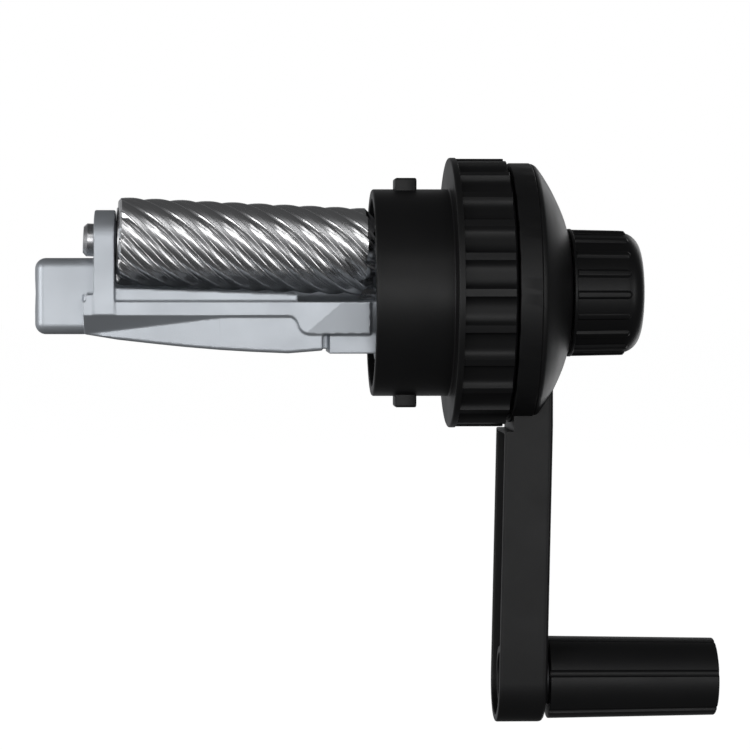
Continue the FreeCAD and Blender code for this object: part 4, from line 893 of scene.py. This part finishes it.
def quarter(size, steps=6):
    return [(size * (1 - math.cos(a)), size * (1 - math.sin(a)))
            for a in (math.pi / 2 * k / steps for k in range(steps + 1))]


layers = [(ARM_ROUND + 1.0, ARM_DEPTH, TOP_INSIDE), (ARM_ROUND + 0.2, ARM_DEPTH, TOP_INSIDE)]
layers += [(inset, ARM_DEPTH - drop, TOP_INSIDE)
           for inset, drop in ((b, a) for a, b in quarter(ARM_ROUND))]
layers += [(0, ARM_DEPTH - ARM_ROUND - 0.2, TOP_INSIDE), (0, 1.3, TOP_INSIDE),
           (0, 1.25, TOP_OUTSIDE), (0, 0.4, TOP_OUTSIDE), (0, 0.3, TOP_OUTSIDE),
           (0.09, 0.09, TOP_OUTSIDE - 0.05), (0.3, 0, TOP_OUTSIDE - 0.2),
           (0.4, 0, TOP_OUTSIDE - 0.3), (RIM - 0.3, 0, TOP_CHANNEL + 0.3),
           (RIM - 0.2, 0, TOP_CHANNEL + 0.2), (RIM - 0.06, 0.06, TOP_CHANNEL + 0.06),
           (RIM, 0.2, TOP_CHANNEL), (RIM, 0.3, TOP_CHANNEL),
           (RIM + 0.1, ARM_DEPTH - WEB - 0.3, TOP_CHANNEL - 0.1),
           (RIM + 0.3, ARM_DEPTH - WEB, TOP_CHANNEL - 0.3),
           (RIM + 1.3, ARM_DEPTH - WEB, TOP_CHANNEL - 1.3)]
arm_shape = bmesh.new()
skin(arm_shape, [arm_loop(*layer) for layer in layers])
arm = new_piece("arm", arm_shape, black, sharp=50)

# %% Ribs and bosses of the arm
RIB_SPAN, RIB_THICK = 8.7, 1.0
rib_shape = bmesh.new()
rib_x = arm_x(2.4, TOP_CHANNEL - RIB_SPAN), arm_x(ARM_DEPTH - WEB + 0.2, TOP_CHANNEL - RIB_SPAN)
skin(rib_shape, slab_loops(ARM_HALF - RIM + 0.4, RIB_THICK / 2, TOP_CHANNEL - RIB_SPAN,
                           [(rib_x[0], 0.2), (rib_x[0] + 0.06, 0.06), (rib_x[0] + 0.2, 0),
                            (rib_x[1], 0)]))
arm_ribs = bake(new_piece("arm_ribs", rib_shape, black), repeat, Count=3,
                Step=(-LEAN * RIB_SPAN * MM, 0, -RIB_SPAN * MM))
boss_left, boss_right = arm_x(0.65, CRANK_Z), arm_x(ARM_DEPTH, CRANK_Z)
BOSS_R, NUT_POCKET_R, BOLT_WAY_R = 4.7, 3.6, 2.02
nut_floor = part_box("grip_nut")[1].x / MM + 0.05
boss = turned("boss", rounded([
    (boss_left, NUT_POCKET_R, 0.15), (boss_left, BOSS_R, 0.2), (boss_right - 1.0, BOSS_R, 0),
    (boss_right - 1.0, BOSS_R + 0.01, 0), (boss_right + 0.15, BOSS_R, 0.1),
    (boss_right + 0.15, BOLT_WAY_R, 0), (nut_floor, BOLT_WAY_R, 0),
    (nut_floor, NUT_POCKET_R, 0)]), black, steps=64, z=CRANK_Z)
crank = joined("crank_moulding", [dome, arm, arm_ribs, boss])
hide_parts("crank")
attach(crank, "rotor")
print("crank faces", len(crank.data.polygons))

# %% [markdown]
# ## Knob
#
# The knob sets how far the pencil goes in. It is turned, with a ball's track in its hidden
# face, and eighteen ribs stand on it for the fingers. Each is straight at the collar and
# rounded at its outer end, with sloping sides. That is more than a rule in the angle can
# give, so one rib is a small piece of its own and the repeat rule sets it round the knob.

# %% Knob
knob_low, knob_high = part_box("adjust_knob")
KNOB_X0, KNOB_X1 = knob_low.x / MM, knob_high.x / MM
COLLAR_R, COLLAR_T, KNOB_R, KNOB_END_R, KNOB_ROUND = 9.54, 0.5, 9.14, 8.98, 3.0
section = rounded([(KNOB_X0, 2.4, 0), (KNOB_X0, 6.3, 0.1), (KNOB_X0 + 0.5, 6.8, 0.2),
                   (KNOB_X0 + 0.7, 7.4, 0.2), (KNOB_X0 + 0.5, 8.0, 0.2), (KNOB_X0, 8.5, 0.1),
                   (KNOB_X0, COLLAR_R, 0.15), (KNOB_X0 + COLLAR_T, COLLAR_R, 0.12),
                   (KNOB_X0 + COLLAR_T, KNOB_R, 0.06)], steps=4)
section += [(KNOB_X1 - KNOB_ROUND - 0.2, KNOB_END_R + 0.003)]
section += [(KNOB_X1 - 0.15 - (KNOB_ROUND - 0.15) * (1 - math.sin(a)),
             KNOB_END_R - KNOB_ROUND * (1 - math.cos(a)))
            for a in (math.pi / 2 * k / 14 for k in range(15))]
section += [(KNOB_X1 - 0.12, 5.4), (KNOB_X1 - 0.05, 3.5), (KNOB_X1 - 0.01, 1.5), (KNOB_X1, 0.0),
            (KNOB_X0 + 6.2, 0.0), (KNOB_X0 + 6.2, 2.4)]
knob_body = turned("knob_body", section, knob_black, steps=128)
print("knob section", len(section), "points")

# %% Knob ribs
KNOB_RIBS, KNOB_RIB_HALF, KNOB_RIB_OUT, RIB_SIDE = 18, 0.64, 0.36, 0.26
RIB_FROM, RIB_TO = KNOB_X0 + 0.3, KNOB_X0 + 8.5


def rib_loop(inset, height):
    """The outline of a rib lying on the knob, at a height over its surface."""
    half = KNOB_RIB_HALF - inset
    points = [(RIB_FROM + inset, half), (RIB_TO - KNOB_RIB_HALF, half)]
    points += [(RIB_TO - KNOB_RIB_HALF + half * math.sin(a), half * math.cos(a))
               for a in (math.pi * k / 10 for k in range(1, 10))]
    points += [(RIB_TO - KNOB_RIB_HALF, -half), (RIB_FROM + inset, -half)]
    drop = (KNOB_R - KNOB_END_R) / (KNOB_X1 - KNOB_ROUND - KNOB_X0)
    return [(x, KNOB_R + height - drop * (x - KNOB_X0), z) for x, z in points]


rib_shape = bmesh.new()
skin(rib_shape, [rib_loop(0, -0.5), rib_loop(0, 0.02),
                 rib_loop(RIB_SIDE, KNOB_RIB_OUT - 0.04),
                 rib_loop(RIB_SIDE + 0.05, KNOB_RIB_OUT),
                 rib_loop(RIB_SIDE + 0.12, KNOB_RIB_OUT + 0.01)])
knob_ribs = bake(new_piece("knob_ribs", rib_shape, knob_black), repeat, Count=KNOB_RIBS,
                 Turn=2 * math.pi / KNOB_RIBS, First_angle=math.radians(2))
knob = joined("knob_with_ribs", [knob_body, knob_ribs])
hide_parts("adjust_knob")
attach(knob, "knob")

# %% [markdown]
# ## Handle
#
# The handle is a tapered sleeve that turns on a shoulder bolt. Six shallow grooves run
# along it, so it is turned and then cut by the same rule as the grip ring.

# %% Handle sleeve
grip_low, grip_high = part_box("handle_grip")
GRIP_X0, GRIP_X1 = grip_low.x / MM, grip_high.x / MM
GRIP_R0, GRIP_R1, GRIP_ROUND = 6.13, 5.75, 0.22
BOLT_HOLE_R, HEAD_HOLE_R, HEAD_HOLE_X = 2.05, 3.9, GRIP_X1 - 3.35
handle = turned("handle", rounded([
    (GRIP_X0, BOLT_HOLE_R, 0), (GRIP_X0, GRIP_R0, GRIP_ROUND), (GRIP_X1, GRIP_R1, GRIP_ROUND),
    (GRIP_X1, HEAD_HOLE_R, 0.25), (HEAD_HOLE_X, HEAD_HOLE_R, 0), (HEAD_HOLE_X, BOLT_HOLE_R, 0)]),
    grip_black, steps=240)
GROOVE_DEPTH, GROOVE_WIDTH, GROOVE_ANGLE = 0.40, 1.0, 47.4
bake(handle, scallops, Count=6.0, Depth=GROOVE_DEPTH * MM, Width=GROOVE_WIDTH * MM,
     Surface_radius=GRIP_R0 * MM, Taper=(GRIP_R0 - GRIP_R1) / (GRIP_X1 - GRIP_X0),
     Start=(GRIP_X0 - 1) * MM, First_angle=math.radians(GROOVE_ANGLE))
handle.data.transform(Matrix.Translation((0, 0, CRANK_Z * MM)))
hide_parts("handle_grip")
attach(handle, "grip")
